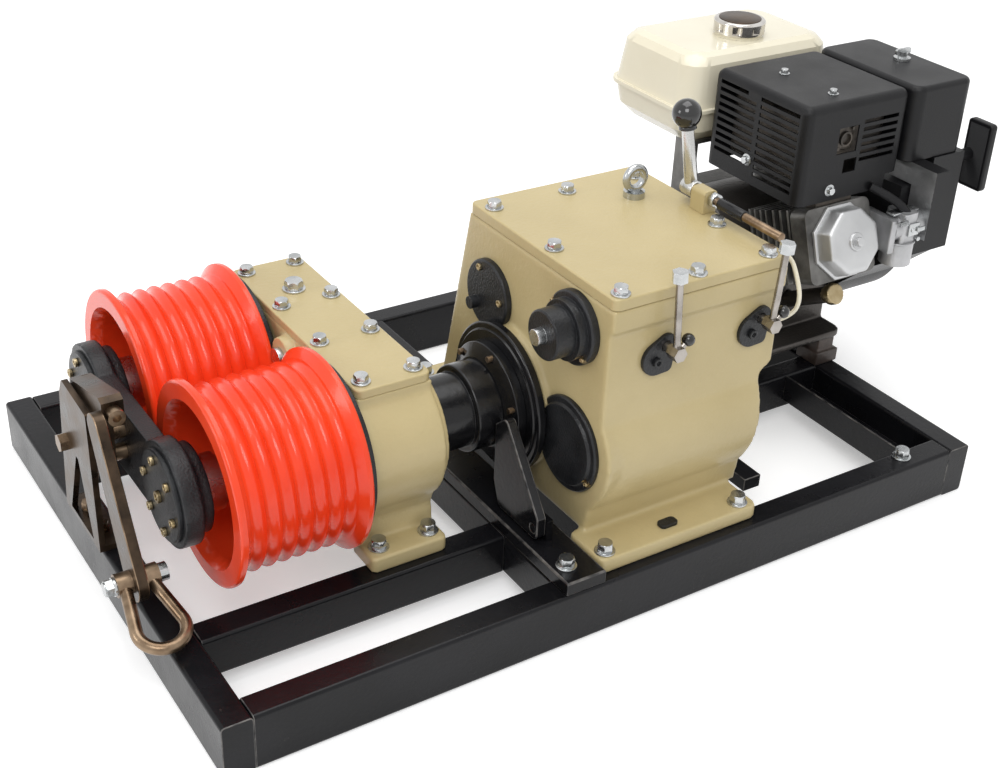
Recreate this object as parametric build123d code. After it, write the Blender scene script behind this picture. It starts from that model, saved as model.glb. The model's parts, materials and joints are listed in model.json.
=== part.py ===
from build123d import *
import math
import os

# Skid frame of rectangular tube. The origin is on the floor, under the centre cross rail
FRAME_LENGTH = 1200.0
FRAME_WIDTH = 800.0
RAIL_HEIGHT = 80.0
RAIL_WIDTH = 40.0
RAIL_WALL = 3.5
RAIL_CORNER = 5.0
LOW_RAIL_HEIGHT = 60.0
INNER_RAIL_SPREAD = 232.0
MID_CROSS_X = -110.0
CROSS_BAR_WIDTH = 60.0
CROSS_BAR_THICKNESS = 19.0
CROSS_BAR_INSET = 2.0
ENGINE_RAIL_NEAR_Y = -90.0
ENGINE_RAIL_FAR_Y = 140.0
TRAY_X = 495.0
TRAY_DEPTH = 45.0
TRAY_WALL = 3.0
STAY_X = 256.0
STAY_WIDTH = 30.0
STAY_HEIGHT = 20.0
STAY_LENGTH = 197.0

# Clearances: a running fit, a fixed seat, and the gap where round faces of two bodies meet
RUNNING = 0.05
SEAT = 0.02
GAP = 0.3

# Rope drums
AXLE_Z = 220.0
DRUM_SPREAD = 135.0
DRUM_LEFT_X = -508.0
DRUM_LENGTH = 176.0
FLANGE_R = 133.0
FLANGE_WIDTH = 17.0
FLANGE_LIP = 4.5
GROOVE_COUNT = 7
CREST_R = 121.5
GROOVE_DEPTH = 8.0
MOUTH_R = 109.0
BARREL_BORE_R = 100.0
DRUM_WEB = 20.0
DRUM_HUB_R = 52.0
DRUM_HUB_LENGTH = 95.0

# Shafts
SHAFT_R = 30.0
COLLAR_R = 37.0
COLLAR_LENGTH = 25.0
DRIVE_FLANGE_R = 115.0
DRIVE_FLANGE_THICKNESS = 12.0

# Bearing bridge at the open end of the drums
BRIDGE_THICKNESS = 25.0
BRIDGE_LOBE_R = 69.0
BRIDGE_WAIST = 100.0
BRIDGE_CLEARANCE = 1.0
BEARING_HUB_R = 58.0
BEARING_HUB_LENGTH = 16.0
BEARING_CAP_R = 60.0
BEARING_CAP_THICKNESS = 6.0
BEARING_SCREW_CIRCLE_R = 46.0
BEARING_SCREW_COUNT = 6

# Gears inside the drum gearbox
GEAR_MODULE = 4.0
DRUM_GEAR_TEETH = 42
IDLER_TEETH = 26
GEAR_WIDTH = 50.0
GEAR_THINNING = 0.5
ADDENDUM = 0.9
DEDENDUM = 1.2
PRESSURE_ANGLE = 20.0
IDLER_JOURNAL_R = 18.0
GEAR_ROOM = 2.4

# Drum gearbox
DRUM_BOX_X = -316.0
DRUM_BOX_WIDTH = 106.0
DRUM_BOX_TOP_Z = 325.0
DRUM_BOX_HALF_LENGTH = 190.0
DRUM_BOX_WALL = 7.0
DRUM_BOX_END_WALL = 12.0
DRUM_COVER_THICKNESS = 12.0
JOURNAL_DEPTH = 9.0
COUPLING_BOSS_R = 86.0
COUPLING_BOSS_LENGTH = 10.0
SIDE_BOSS_R = 28.0
SIDE_BOSS_LENGTH = 14.0
SIDE_BOSS_Z = 283.0
SIDE_PLUG_R = 15.0
FOOT_THICKNESS = 22.0
DRUM_FOOT_REACH = 238.0
DRUM_FOOT_LENGTH = 60.0
DRUM_NECK_OUTER = 198.0
DRUM_NECK_INNER = 150.0
FOOT_CORNER = 8.0

# Coupling between the gearboxes
SLEEVE_R = 52.0
SLEEVE_END_X = -140.0
RING_R = 61.0
RING_END_X = -102.5
COUPLING_HUB_R = 82.0
COUPLING_CONE_LENGTH = 9.0
COUPLING_HUB_LENGTH = 22.5
BRAKE_DISC_R = 106.0
BRAKE_DISC_THICKNESS = 16.0
COUPLING_SCREW_COUNT = 6

# Main gearbox
MAIN_X = -50.0
MAIN_LENGTH = 276.0
MAIN_NEAR_Y = -345.0
MAIN_FAR_Y = -12.0
MAIN_TOP_Z = 455.0
MAIN_COVER_THICKNESS = 15.0
MAIN_BAND_HEIGHT = 30.0
MAIN_BAND_STEP = 6.0
MAIN_BULGE_FAR_Y = 56.0
MAIN_BULGE_FAR_Z = 146.0
MAIN_BULGE_NEAR_Y = -351.0
MAIN_BULGE_NEAR_Z = 205.0
MAIN_SHOULDER_Z = 272.0
MAIN_WAIST_RISE = 36.0
MAIN_STEP_Z = 296.0
MAIN_STEP = 18.0
MAIN_FOOT_X = -68.0
MAIN_FOOT_END_X = 195.0
MAIN_FOOT_NEAR_Y = -384.0
MAIN_FOOT_FAR_Y = 160.0
SHAFT_SOCKET_DEPTH = 60.0

# Round caps on the left face of the main gearbox, as (y, z)
UPPER_FAR_CAP = (-75.0, 344.0)
UPPER_NEAR_CAP = (-272.0, 388.0)
LOWER_NEAR_CAP = (-273.0, 216.0)
UPPER_FAR_CAP_R = 50.0
UPPER_NEAR_CAP_R = 49.0
LOWER_NEAR_CAP_R = 66.0
CAP_THICKNESS = 10.0
CAST_BOSS_MARGIN = 9.0

# Lifting eye on the cover
EYE_X = 158.0
EYE_Y = -102.0
EYE_HOLE_R = 10.5
EYE_BAR_R = 5.5
EYE_RING_R = 14.75
EYE_HEIGHT = 27.0

# Shift levers on the near face
SHIFT_A_X = 36.0
SHIFT_B_X = 191.0
SHIFT_Z = 372.0
SHIFT_SHAFT_R = 7.0
SHIFT_SHAFT_LENGTH = 34.0
SHIFT_PLATE_THICKNESS = 6.0
SHIFT_STICK_LENGTH = 100.0
SHIFT_STICK_R = 4.8
SHIFT_LEAN = 4.0

# Clutch lever
CLUTCH_ROD_X = 218.0
CLUTCH_ROD_Z = 475.0
CLUTCH_ROD_R = 6.0
CLUTCH_ROD_END_Y = -333.0
CLUTCH_LEVER_Y = -150.0
CLUTCH_STICK_R = 9.0
CLUTCH_BALL_R = 20.0
CLUTCH_BALL_HEIGHT = 105.0
LEVER_BRACKET_Y = -195.0
LEVER_BRACKET_LENGTH = 28.0

# Pawl beside the coupling, its pivot as (y, z)
PAWL_X = -118.0
PAWL_THICKNESS = 14.0
PAWL_PIVOT = (-297.0, 118.0)
PAWL_PIN_R = 6.0

# Anchor bracket, arm and shackle
ANCHOR_X = -604.0
ANCHOR_PLATE = 8.0
ANCHOR_DEPTH = 34.0
ANCHOR_NEAR_Y = -24.0
ANCHOR_FAR_Y = 107.0
ANCHOR_HEAD_NEAR_Y = -62.0
ANCHOR_HEAD_FAR_Y = 60.0
ANCHOR_HEAD_Z = 285.0
SPACER_R = 11.0
ARM_THICKNESS = 14.0
ARM_INSET = 4.0
ARM_END_R = 27.0
ARM_TOP_R = 19.0
PIN_Y = -152.0
PIN_Z = 122.0
PIN_R = 9.0
PIN_COLLAR_R = 12.0
BOW_BAR_R = 8.0
BOW_R = 29.5
BOW_CENTRE = 79.5
BOW_EYE_R = 15.0
BOW_EYE_LENGTH = 19.5
BOW_DROOP = 14.9

# Engine shaft and clutch
CRANK_Y = 30.0
CRANK_Z = 272.0
CRANK_R = 12.7
BELL_R = 78.0
BELL_LENGTH = 74.0
BELL_WALL = 10.0
CLUTCH_DRUM_R = 60.0
CLUTCH_DRUM_LENGTH = 60.0
CRANK_SOCKET_DEPTH = 40.0

# Engine
ENGINE_X = 390.0
ENGINE_LENGTH = 215.0
ENGINE_BASE_Z = 125.0
ENGINE_BASE_THICKNESS = 12.0
ENGINE_NEAR_Y = -110.0
ENGINE_FAR_Y = 165.0
ENGINE_FOOT_SIZE = 46.0
CRANKCASE_R = 92.0
CYLINDER_X = 487.0
CYLINDER_TILT = 20.0
FIN_COUNT = 7
FIN_PITCH = 14.0
FIN_START = 106.0
FIN_THICKNESS = 4.0
HEAD_START = 196.0
HEAD_THICKNESS = 32.0
HEAD_HALF_HEIGHT = 56.0
HEAD_HALF_WIDTH = 64.0
ROCKER_R = 54.0
ROCKER_DEPTH = 32.0
CARB_Y = -203.0
CARB_Z = 361.0
CARB_LENGTH = 70.0
CARB_R = 19.0
BOWL_R = 24.0

# Exhaust guard and air cleaner
GUARD_X = 405.0
GUARD_END_X = 605.0
GUARD_NEAR_Y = -165.0
GUARD_FAR_Y = 40.0
GUARD_BOTTOM_Z = 410.0
GUARD_TOP_Z = 558.0
GUARD_WALL = 2.5
GUARD_CORNER = 14.0
GUARD_ROUND = 12.0
SLOT_COUNT = 9
SLOT_PITCH = 11.5
SLOT_HEIGHT = 6.0
CLEANER_X = 608.0
CLEANER_END_X = 725.0
CLEANER_NEAR_Y = -175.0
CLEANER_BOTTOM_Z = 445.0
CLEANER_TOP_Z = 560.0

# Fuel tank
TANK_X = 365.0
TANK_END_X = 672.0
TANK_NEAR_Y = 46.0
TANK_FAR_Y = 258.0
TANK_BOTTOM_Z = 430.0
TANK_SEAM_Z = 485.0
TANK_TOP_Z = 567.0
TANK_CORNER_R = 34.0
FUEL_CAP_X = 523.0
FUEL_CAP_Y = 129.0
FUEL_CAP_R = 40.0
FUEL_CAP_HEIGHT = 20.0
FUEL_NECK_HEIGHT = 5.0

# Blower, recoil starter and its grip
BLOWER_END_X = 730.0
BLOWER_R = 132.0
BLOWER_NEAR_Y = -178.0
ROPE_GUIDE_LENGTH = 65.0
RECOIL_R = 110.0
RECOIL_DEPTH = 35.0
GRIP_X = 775.0
GRIP_Y = -156.0
GRIP_Z = 426.0
GRIP_LENGTH = 109.0
GRIP_R = 10.0
ROPE_R = 3.0

# Values worked out from the ones above
DECK_Z = RAIL_HEIGHT
FOOT_TOP_Z = DECK_Z + FOOT_THICKNESS
HALF_LENGTH = FRAME_LENGTH / 2
HALF_WIDTH = FRAME_WIDTH / 2
INSIDE_X = HALF_LENGTH - RAIL_WIDTH
INSIDE_Y = HALF_WIDTH - RAIL_WIDTH
LOW_RAIL_Z = RAIL_HEIGHT - LOW_RAIL_HEIGHT
HALF_RAIL = RAIL_WIDTH / 2
BAR_TOP_Z = DECK_Z + CROSS_BAR_THICKNESS
DRUM_RIGHT_X = DRUM_LEFT_X + DRUM_LENGTH
DRUM_BOX_END_X = DRUM_BOX_X + DRUM_BOX_WIDTH
DRUM_COVER_Z = DRUM_BOX_TOP_Z - DRUM_COVER_THICKNESS
BRIDGE_END_X = DRUM_LEFT_X - BRIDGE_CLEARANCE
BRIDGE_FACE_X = BRIDGE_END_X - BEARING_HUB_LENGTH
BRIDGE_X = BRIDGE_FACE_X - BRIDGE_THICKNESS
CAP_FACE_X = BRIDGE_X - BEARING_CAP_THICKNESS
DRUM_GEAR_R = GEAR_MODULE * DRUM_GEAR_TEETH / 2
IDLER_R = GEAR_MODULE * IDLER_TEETH / 2
IDLER_Z = AXLE_Z + math.sqrt((DRUM_GEAR_R + IDLER_R) ** 2 - DRUM_SPREAD ** 2)
GEAR_X = DRUM_BOX_X + DRUM_BOX_WIDTH / 2 - GEAR_WIDTH / 2
DRUM_LOBE_R = DRUM_GEAR_R + GEAR_MODULE * ADDENDUM + GEAR_ROOM + DRUM_BOX_WALL
MAIN_END_X = MAIN_X + MAIN_LENGTH
MAIN_COVER_Z = MAIN_TOP_Z - MAIN_COVER_THICKNESS
MAIN_WALL_Y = MAIN_NEAR_Y + MAIN_BAND_STEP
SHAFT_NEAR_END_X = MAIN_X + SHAFT_SOCKET_DEPTH - 2.0
ENGINE_END_X = ENGINE_X + ENGINE_LENGTH
BELL_END_X = MAIN_END_X + BELL_LENGTH
HUB_END_X = RING_END_X + COUPLING_HUB_LENGTH
ARM_X = ANCHOR_X + ARM_INSET
BOW_EYE_OFFSET = ARM_THICKNESS / 2 + GAP + BOW_BAR_R
CLUTCH_STICK_LENGTH = CLUTCH_BALL_HEIGHT - CLUTCH_BALL_R + 3.0


def bar_x(x0, x1, y, z, radius):
    """Round bar along X."""
    return Pos((x0 + x1) / 2, y, z) * Rot(0, 90, 0) * Cylinder(radius, x1 - x0)


def bar_y(x, y0, y1, z, radius):
    """Round bar along Y."""
    return Pos(x, (y0 + y1) / 2, z) * Rot(90, 0, 0) * Cylinder(radius, y1 - y0)


def bar_z(x, y, z0, z1, radius):
    """Round bar along Z."""
    return Pos(x, y, (z0 + z1) / 2) * Cylinder(radius, z1 - z0)


def block(x0, x1, y0, y1, z0, z1):
    """Rectangular block between two corners."""
    return Pos((x0 + x1) / 2, (y0 + y1) / 2, (z0 + z1) / 2) * Box(x1 - x0, y1 - y0, z1 - z0)


def soft_block(x0, x1, y0, y1, z0, z1, radius):
    """Block with rounded upright edges."""
    body = block(x0, x1, y0, y1, z0, z1)
    return fillet(body.edges().filter_by(Axis.Z), radius)


def plate_x(points, x0, x1, radius=0.0):
    """Flat plate whose outline, as (y, z) points, lies in the YZ plane."""
    face = make_face(Polyline(points, close=True))
    if radius:
        face = fillet(face.vertices(), radius)
    return Pos(x0, 0, 0) * extrude(Plane.YZ * face, x1 - x0, dir=(1, 0, 0))


def turned_x(points, y, z):
    """Turned piece about an axis along X, from (x, radius) points."""
    face = make_face(Polyline(points, close=True))
    return Pos(0, y, z) * revolve(face, Axis.X, 360)


def hex_prism(across_flats, height):
    return extrude(RegularPolygon(across_flats / 2, 6, major_radius=False), height)


def hex_bolt(x, y, z, across_flats=17.0, height=9.0, washer_r=12.5, washer=2.5):
    """Hexagon head on its washer, on a level face."""
    head = Pos(x, y, z + washer) * hex_prism(across_flats, height)
    return bar_z(x, y, z, z + washer, washer_r) + head


def cap_screw_x(x, y, z, radius=6.0, height=5.0):
    """Socket screw head on a face that looks along -X."""
    head = bar_x(x - height, x, y, z, radius)
    return head - bar_x(x - height, x - height / 2, y, z, radius / 2)


def joined(*groups):
    """One node made of separate solids."""
    solids = []
    for group in groups:
        solids += group.solids()
    return Compound(solids)


# Skid frame


def tube_y(x, y0, y1, z0):
    """Rectangular tube along Y, closed at both ends."""
    outer = block(x - HALF_RAIL, x + HALF_RAIL, y0, y1, z0, RAIL_HEIGHT)
    outer = fillet(outer.edges().filter_by(Axis.Y), RAIL_CORNER)
    inside = HALF_RAIL - RAIL_WALL
    low, high = z0 + RAIL_WALL, RAIL_HEIGHT - RAIL_WALL
    return outer - block(x - inside, x + inside, y0 + RAIL_WALL, y1 - RAIL_WALL, low, high)


def tube_x(x0, x1, y, z0):
    """Rectangular tube along X, closed at both ends."""
    outer = block(x0, x1, y - HALF_RAIL, y + HALF_RAIL, z0, RAIL_HEIGHT)
    outer = fillet(outer.edges().filter_by(Axis.X), RAIL_CORNER)
    inside = HALF_RAIL - RAIL_WALL
    low, high = z0 + RAIL_WALL, RAIL_HEIGHT - RAIL_WALL
    return outer - block(x0 + RAIL_WALL, x1 - RAIL_WALL, y - inside, y + inside, low, high)


def end_rail(side):
    return tube_y(side * (HALF_LENGTH - HALF_RAIL), -HALF_WIDTH, HALF_WIDTH, 0)


def long_rail(side):
    return tube_x(-INSIDE_X, INSIDE_X, side * (HALF_WIDTH - HALF_RAIL), 0)


def inner_rails():
    """Two low rails that carry the drum gearbox."""
    end = MID_CROSS_X - HALF_RAIL
    return joined(*[tube_x(-INSIDE_X, end, side * INNER_RAIL_SPREAD, LOW_RAIL_Z) for side in (-1, 1)])


def engine_rails():
    """Two low rails from the centre cross rail to the right end."""
    return joined(*[tube_x(HALF_RAIL, INSIDE_X, y, LOW_RAIL_Z) for y in (ENGINE_RAIL_NEAR_Y, ENGINE_RAIL_FAR_Y)])


def cross_bar():
    """Flat bar over both long rails and the middle cross rail."""
    x0 = MID_CROSS_X - HALF_RAIL
    reach = HALF_WIDTH - CROSS_BAR_INSET
    bar = block(x0, x0 + CROSS_BAR_WIDTH, -reach, reach, DECK_Z, BAR_TOP_Z)
    return chamfer(bar.faces().sort_by(Axis.Z)[-1].edges(), 1.5)


def trays():
    """Angles beside the right end rail, near and far, and a short stay."""
    floor_z = DECK_Z - TRAY_DEPTH
    near_end = ENGINE_RAIL_NEAR_Y - HALF_RAIL
    angles = []
    for y0, y1 in ((-INSIDE_Y, near_end), (ENGINE_RAIL_FAR_Y + HALF_RAIL, INSIDE_Y)):
        leg = block(TRAY_X, TRAY_X + TRAY_WALL, y0, y1, floor_z, DECK_Z)
        angles.append(leg + block(TRAY_X, INSIDE_X, y0, y1, floor_z, floor_z + TRAY_WALL))
    half = STAY_WIDTH / 2
    stay = block(STAY_X - half, STAY_X + half, near_end - STAY_LENGTH, near_end, DECK_Z - STAY_HEIGHT, DECK_Z)
    return joined(*angles, stay)


def deck_bolts():
    """Bolts that hold the frame and the feet of both gearboxes."""
    big = {"across_flats": 19.0, "height": 12.0, "washer_r": 14.0}
    corner_x = HALF_LENGTH - 116.0
    bolts = [hex_bolt(MID_CROSS_X, side * (HALF_WIDTH - 35.0), BAR_TOP_Z, **big) for side in (-1, 1)]
    bolts += [hex_bolt(corner_x, side * (HALF_WIDTH - 26.0), DECK_Z, **big) for side in (-1, 1)]
    for side in (-1, 1):
        for dx in (-38.0, 35.0):
            x = DRUM_BOX_X + DRUM_BOX_WIDTH / 2 + dx
            bolts.append(hex_bolt(x, side * (DRUM_FOOT_REACH - 22.0), FOOT_TOP_Z, **big))
    for x in (MAIN_FOOT_X + 17.0, MAIN_FOOT_END_X - 23.0):
        bolts.append(hex_bolt(x, MAIN_FOOT_NEAR_Y + 17.0, FOOT_TOP_Z, **big))
        bolts.append(hex_bolt(max(x, MAIN_X + 25.0), MAIN_FOOT_FAR_Y - 17.0, FOOT_TOP_Z, **big))
    return joined(*bolts)


# Drums and their shafts


def drum(y):
    """Grooved rope drum, open at the left, with a web and a hub at the right."""
    x0, x1 = DRUM_LEFT_X, DRUM_RIGHT_X
    pitch = (DRUM_LENGTH - 2 * FLANGE_WIDTH) / GROOVE_COUNT
    bore = SHAFT_R + SEAT
    web_x = x1 - DRUM_WEB
    hub_x = x1 - DRUM_HUB_LENGTH
    flat = FLANGE_WIDTH / 2
    lip = FLANGE_LIP
    bow = lip * (1 - math.sqrt(0.5))
    with BuildPart() as body:
        with BuildSketch(Plane.XY):
            with BuildLine():
                Line((x1, bore), (x1, FLANGE_R - lip))
                ThreePointArc((x1, FLANGE_R - lip), (x1 - bow, FLANGE_R - bow), (x1 - lip, FLANGE_R))
                Polyline((x1 - lip, FLANGE_R), (x1 - flat, FLANGE_R), (x1 - FLANGE_WIDTH, CREST_R))
                for i in range(GROOVE_COUNT):
                    right = x1 - FLANGE_WIDTH - i * pitch
                    middle = (right - pitch / 2, CREST_R - GROOVE_DEPTH)
                    ThreePointArc((right, CREST_R), middle, (right - pitch, CREST_R))
                Polyline((x0 + FLANGE_WIDTH, CREST_R), (x0 + flat, FLANGE_R), (x0 + lip, FLANGE_R))
                ThreePointArc((x0 + lip, FLANGE_R), (x0 + bow, FLANGE_R - bow), (x0, FLANGE_R - lip))
                Polyline((x0, FLANGE_R - lip), (x0, MOUTH_R), (x0 + FLANGE_WIDTH, BARREL_BORE_R))
                Polyline((x0 + FLANGE_WIDTH, BARREL_BORE_R), (web_x, BARREL_BORE_R), (web_x, DRUM_HUB_R))
                Polyline((web_x, DRUM_HUB_R), (hub_x, DRUM_HUB_R), (hub_x, bore), (x1, bore))
            make_face()
        revolve(axis=Axis.X)
    return Pos(0, y, AXLE_Z) * body.part


def drive_flange(y):
    """Dark disc between the drum and the gearbox."""
    x0, x1 = DRUM_RIGHT_X, DRUM_RIGHT_X + DRIVE_FLANGE_THICKNESS
    disc = bar_x(x0, x1, y, AXLE_Z, DRIVE_FLANGE_R)
    return disc - bar_x(x0, x1, y, AXLE_Z, SHAFT_R + SEAT)


def drum_shaft(y, end_x):
    """Shaft with the bright collar beside the bearing."""
    shaft = bar_x(BRIDGE_X + GAP, end_x, y, AXLE_Z, SHAFT_R)
    x0, x1 = DRUM_LEFT_X, DRUM_LEFT_X + COLLAR_LENGTH
    collar = bar_x(x0, x1, y, AXLE_Z, COLLAR_R) - bar_x(x0, x1, y, AXLE_Z, SHAFT_R + SEAT)
    return joined(shaft, collar)


# Gear train


def involute(base_r, radius):
    """Angle of the involute at a radius."""
    roll = math.sqrt((radius / base_r) ** 2 - 1)
    return roll - math.atan(roll)


def gear_outline(teeth, phase):
    """Spur gear outline with involute flanks; a tooth is centred on the phase angle."""
    pitch_r = GEAR_MODULE * teeth / 2
    base_r = pitch_r * math.cos(math.radians(PRESSURE_ANGLE))
    tip_r = pitch_r + GEAR_MODULE * ADDENDUM
    root_r = pitch_r - GEAR_MODULE * DEDENDUM
    half_tooth = (math.pi * GEAR_MODULE - GEAR_THINNING) / (4 * pitch_r)
    start_r = max(base_r, root_r)
    flank = [start_r + (tip_r - start_r) * step / 3 for step in range(4)]
    offsets = [half_tooth + involute(base_r, pitch_r) - involute(base_r, r) for r in flank]
    side = list(zip(flank, offsets))
    if root_r < start_r:
        side.insert(0, (root_r, offsets[0]))
    points = []
    for i in range(teeth):
        middle = phase + 2 * math.pi * i / teeth
        for radius, offset in [(r, -turn) for r, turn in side] + side[::-1]:
            points.append((radius * math.cos(middle + offset), radius * math.sin(middle + offset)))
    return points


def drum_gear(side):
    """Gear on a drum's shaft, with a tooth that points at the idler."""
    y = side * DRUM_SPREAD
    phase = math.atan2(IDLER_Z - AXLE_Z, -y)
    gear = Pos(0, y, AXLE_Z) * plate_x(gear_outline(DRUM_GEAR_TEETH, phase), GEAR_X, GEAR_X + GEAR_WIDTH)
    return gear - bar_x(GEAR_X, GEAR_X + GEAR_WIDTH, y, AXLE_Z, SHAFT_R + SEAT)


def idler_gear():
    """Idler with its journals. It has a tooth space towards the near gear."""
    phase = math.atan2(AXLE_Z - IDLER_Z, -DRUM_SPREAD) + math.pi / IDLER_TEETH
    gear = Pos(0, 0, IDLER_Z) * plate_x(gear_outline(IDLER_TEETH, phase), GEAR_X, GEAR_X + GEAR_WIDTH)
    reach = DRUM_BOX_END_WALL - JOURNAL_DEPTH + 1.0
    return gear + bar_x(DRUM_BOX_X + reach, DRUM_BOX_END_X - reach, 0, IDLER_Z, IDLER_JOURNAL_R)


# Drum gearbox


def drum_box_form(x0, x1, inset):
    """Two round lobes about the drum shafts, joined in the middle, with a flat top."""
    radius = DRUM_LOBE_R - inset
    half = DRUM_BOX_HALF_LENGTH - inset
    spread, low_z = DRUM_SPREAD, AXLE_Z - radius
    meet_z = AXLE_Z + math.sqrt(radius**2 - (half - spread) ** 2)
    edges = [
        Line((half, DRUM_COVER_Z), (-half, DRUM_COVER_Z)),
        Line((-half, DRUM_COVER_Z), (-half, meet_z)),
        ThreePointArc((-half, meet_z), (-spread - radius, AXLE_Z), (-spread, low_z)),
        Line((-spread, low_z), (spread, low_z)),
        ThreePointArc((spread, low_z), (spread + radius, AXLE_Z), (half, meet_z)),
        Line((half, meet_z), (half, DRUM_COVER_Z)),
    ]
    return Pos(x0, 0, 0) * extrude(Plane.YZ * make_face(edges), x1 - x0, dir=(1, 0, 0))


def drum_box_neck(side):
    """Neck that spreads from the lobe down to its foot."""
    outer, top = DRUM_NECK_OUTER, AXLE_Z - 60
    outline = [(DRUM_NECK_INNER, top), (outer + 8, top), (outer - 4, top - 28)]
    outline += [(outer, FOOT_TOP_Z - 1), (DRUM_NECK_INNER, FOOT_TOP_Z - 1)]
    return plate_x([(side * y, z) for y, z in outline], DRUM_BOX_X, DRUM_BOX_END_X)


def drum_box_case():
    """Case with lobes, feet and bosses, and the hollow for the gears."""
    x0, x1 = DRUM_BOX_X, DRUM_BOX_END_X
    in0, in1 = x0 + DRUM_BOX_END_WALL, x1 - DRUM_BOX_END_WALL
    case = drum_box_form(x0, x1, 0.0)
    for side in (-1, 1):
        case += drum_box_neck(side)
        outer = side * DRUM_FOOT_REACH
        inner = side * (DRUM_FOOT_REACH - DRUM_FOOT_LENGTH)
        case += soft_block(x0 - 5, x1, min(outer, inner), max(outer, inner), DECK_Z, FOOT_TOP_Z, FOOT_CORNER)
    case += bar_x(x1, x1 + COUPLING_BOSS_LENGTH, -DRUM_SPREAD, AXLE_Z, COUPLING_BOSS_R)
    case += bar_x(x0 - SIDE_BOSS_LENGTH, x0, 0, SIDE_BOSS_Z, SIDE_BOSS_R)
    case -= drum_box_form(in0, in1, DRUM_BOX_WALL)
    bore = SHAFT_R + RUNNING
    case -= bar_x(x0 - 1, in0 + 1, -DRUM_SPREAD, AXLE_Z, bore)
    case -= bar_x(x0 - 1, in0 + 1, DRUM_SPREAD, AXLE_Z, bore)
    case -= bar_x(in1 - 1, x1 + COUPLING_BOSS_LENGTH + 1, -DRUM_SPREAD, AXLE_Z, bore)
    case -= bar_x(in1 - 1, in1 + JOURNAL_DEPTH, DRUM_SPREAD, AXLE_Z, bore)
    return case - bar_x(in0 - JOURNAL_DEPTH, in1 + JOURNAL_DEPTH, 0, IDLER_Z, IDLER_JOURNAL_R + RUNNING)


def soft_cover(x0, x1, y0, y1, z0, z1):
    """Flat cover with rounded corners and a softened top edge."""
    cover = soft_block(x0, x1, y0, y1, z0, z1, 10.0)
    return fillet(cover.faces().sort_by(Axis.Z)[-1].edges(), 2.5)


def drum_box_cover():
    half = DRUM_BOX_HALF_LENGTH
    return soft_cover(DRUM_BOX_X, DRUM_BOX_END_X, -half, half, DRUM_COVER_Z, DRUM_BOX_TOP_Z)


def cover_bolts():
    """Bolts of both covers, with the drum gearbox's filler plug."""
    middle = DRUM_BOX_X + DRUM_BOX_WIDTH / 2
    step = (DRUM_BOX_HALF_LENGTH - 20.0) / 3
    bolts = []
    for dx in (-37.0, 37.0):
        for count in (-3, -1, 1, 3):
            bolts.append(hex_bolt(middle + dx, count * step, DRUM_BOX_TOP_Z))
    bolts.append(hex_bolt(middle, 96.0, DRUM_BOX_TOP_Z, 23.0, 12.0, 16.0))
    left, right = MAIN_X + 17.0, MAIN_END_X - 26.0
    near, far = MAIN_NEAR_Y + 14.0, MAIN_FAR_Y - 35.0
    middle_x = MAIN_X + 0.49 * MAIN_LENGTH
    middle_y = (near + far) / 2
    places = [(left, near), (middle_x, near), (right, near), (left, middle_y)]
    places += [(right, middle_y - 40.0), (left, far), (middle_x, far), (right, far)]
    bolts += [hex_bolt(x, y, MAIN_TOP_Z) for x, y in places]
    return joined(*bolts)


# Bearing bridge


def bearing_bridge():
    """Dog-bone casting that holds the open ends of both shafts."""
    half = BRIDGE_WAIST / 2
    body = block(BRIDGE_X, BRIDGE_FACE_X, -DRUM_SPREAD, DRUM_SPREAD, AXLE_Z - half, AXLE_Z + half)
    for side in (-1, 1):
        body += bar_x(BRIDGE_X, BRIDGE_FACE_X, side * DRUM_SPREAD, AXLE_Z, BRIDGE_LOBE_R)
        body += bar_x(BRIDGE_FACE_X, BRIDGE_END_X, side * DRUM_SPREAD, AXLE_Z, BEARING_HUB_R)
    for side in (-1, 1):
        body -= bar_x(BRIDGE_X - 1, BRIDGE_END_X + 1, side * DRUM_SPREAD, AXLE_Z, SHAFT_R + RUNNING)
    return body


def bearing_caps():
    """Cap disc over each bearing, with its ring of screws and a middle plug."""
    pieces = []
    for y in (-DRUM_SPREAD, DRUM_SPREAD):
        disc = bar_x(CAP_FACE_X, BRIDGE_X, y, AXLE_Z, BEARING_CAP_R)
        pieces.append(chamfer(disc.edges().sort_by(Axis.X)[0], 1.5))
        pieces.append(cap_screw_x(CAP_FACE_X, y, AXLE_Z, 8.0))
        for i in range(BEARING_SCREW_COUNT):
            angle = 2 * math.pi * (i + 0.25) / BEARING_SCREW_COUNT
            dy = BEARING_SCREW_CIRCLE_R * math.cos(angle)
            dz = BEARING_SCREW_CIRCLE_R * math.sin(angle)
            pieces.append(cap_screw_x(CAP_FACE_X, y + dy, AXLE_Z + dz))
    return joined(*pieces)


# Coupling


def coupling_sleeve():
    """Sleeve with a wider ring at its right end."""
    x0 = DRUM_BOX_END_X + COUPLING_BOSS_LENGTH + GAP
    points = [(x0, SHAFT_R + SEAT), (x0, SLEEVE_R), (SLEEVE_END_X, SLEEVE_R), (SLEEVE_END_X, RING_R - 2)]
    points += [(SLEEVE_END_X + 2, RING_R), (RING_END_X, RING_R), (RING_END_X, SHAFT_R + SEAT)]
    return turned_x(points, -DRUM_SPREAD, AXLE_Z)


def coupling_hub():
    """Hub with a conical shoulder."""
    x0, cone = RING_END_X, RING_END_X + COUPLING_CONE_LENGTH
    points = [(x0, SHAFT_R + SEAT), (x0, RING_R + 2), (cone, COUPLING_HUB_R), (HUB_END_X, COUPLING_HUB_R)]
    points += [(HUB_END_X, SHAFT_R + SEAT)]
    return turned_x(points, -DRUM_SPREAD, AXLE_Z)


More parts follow.
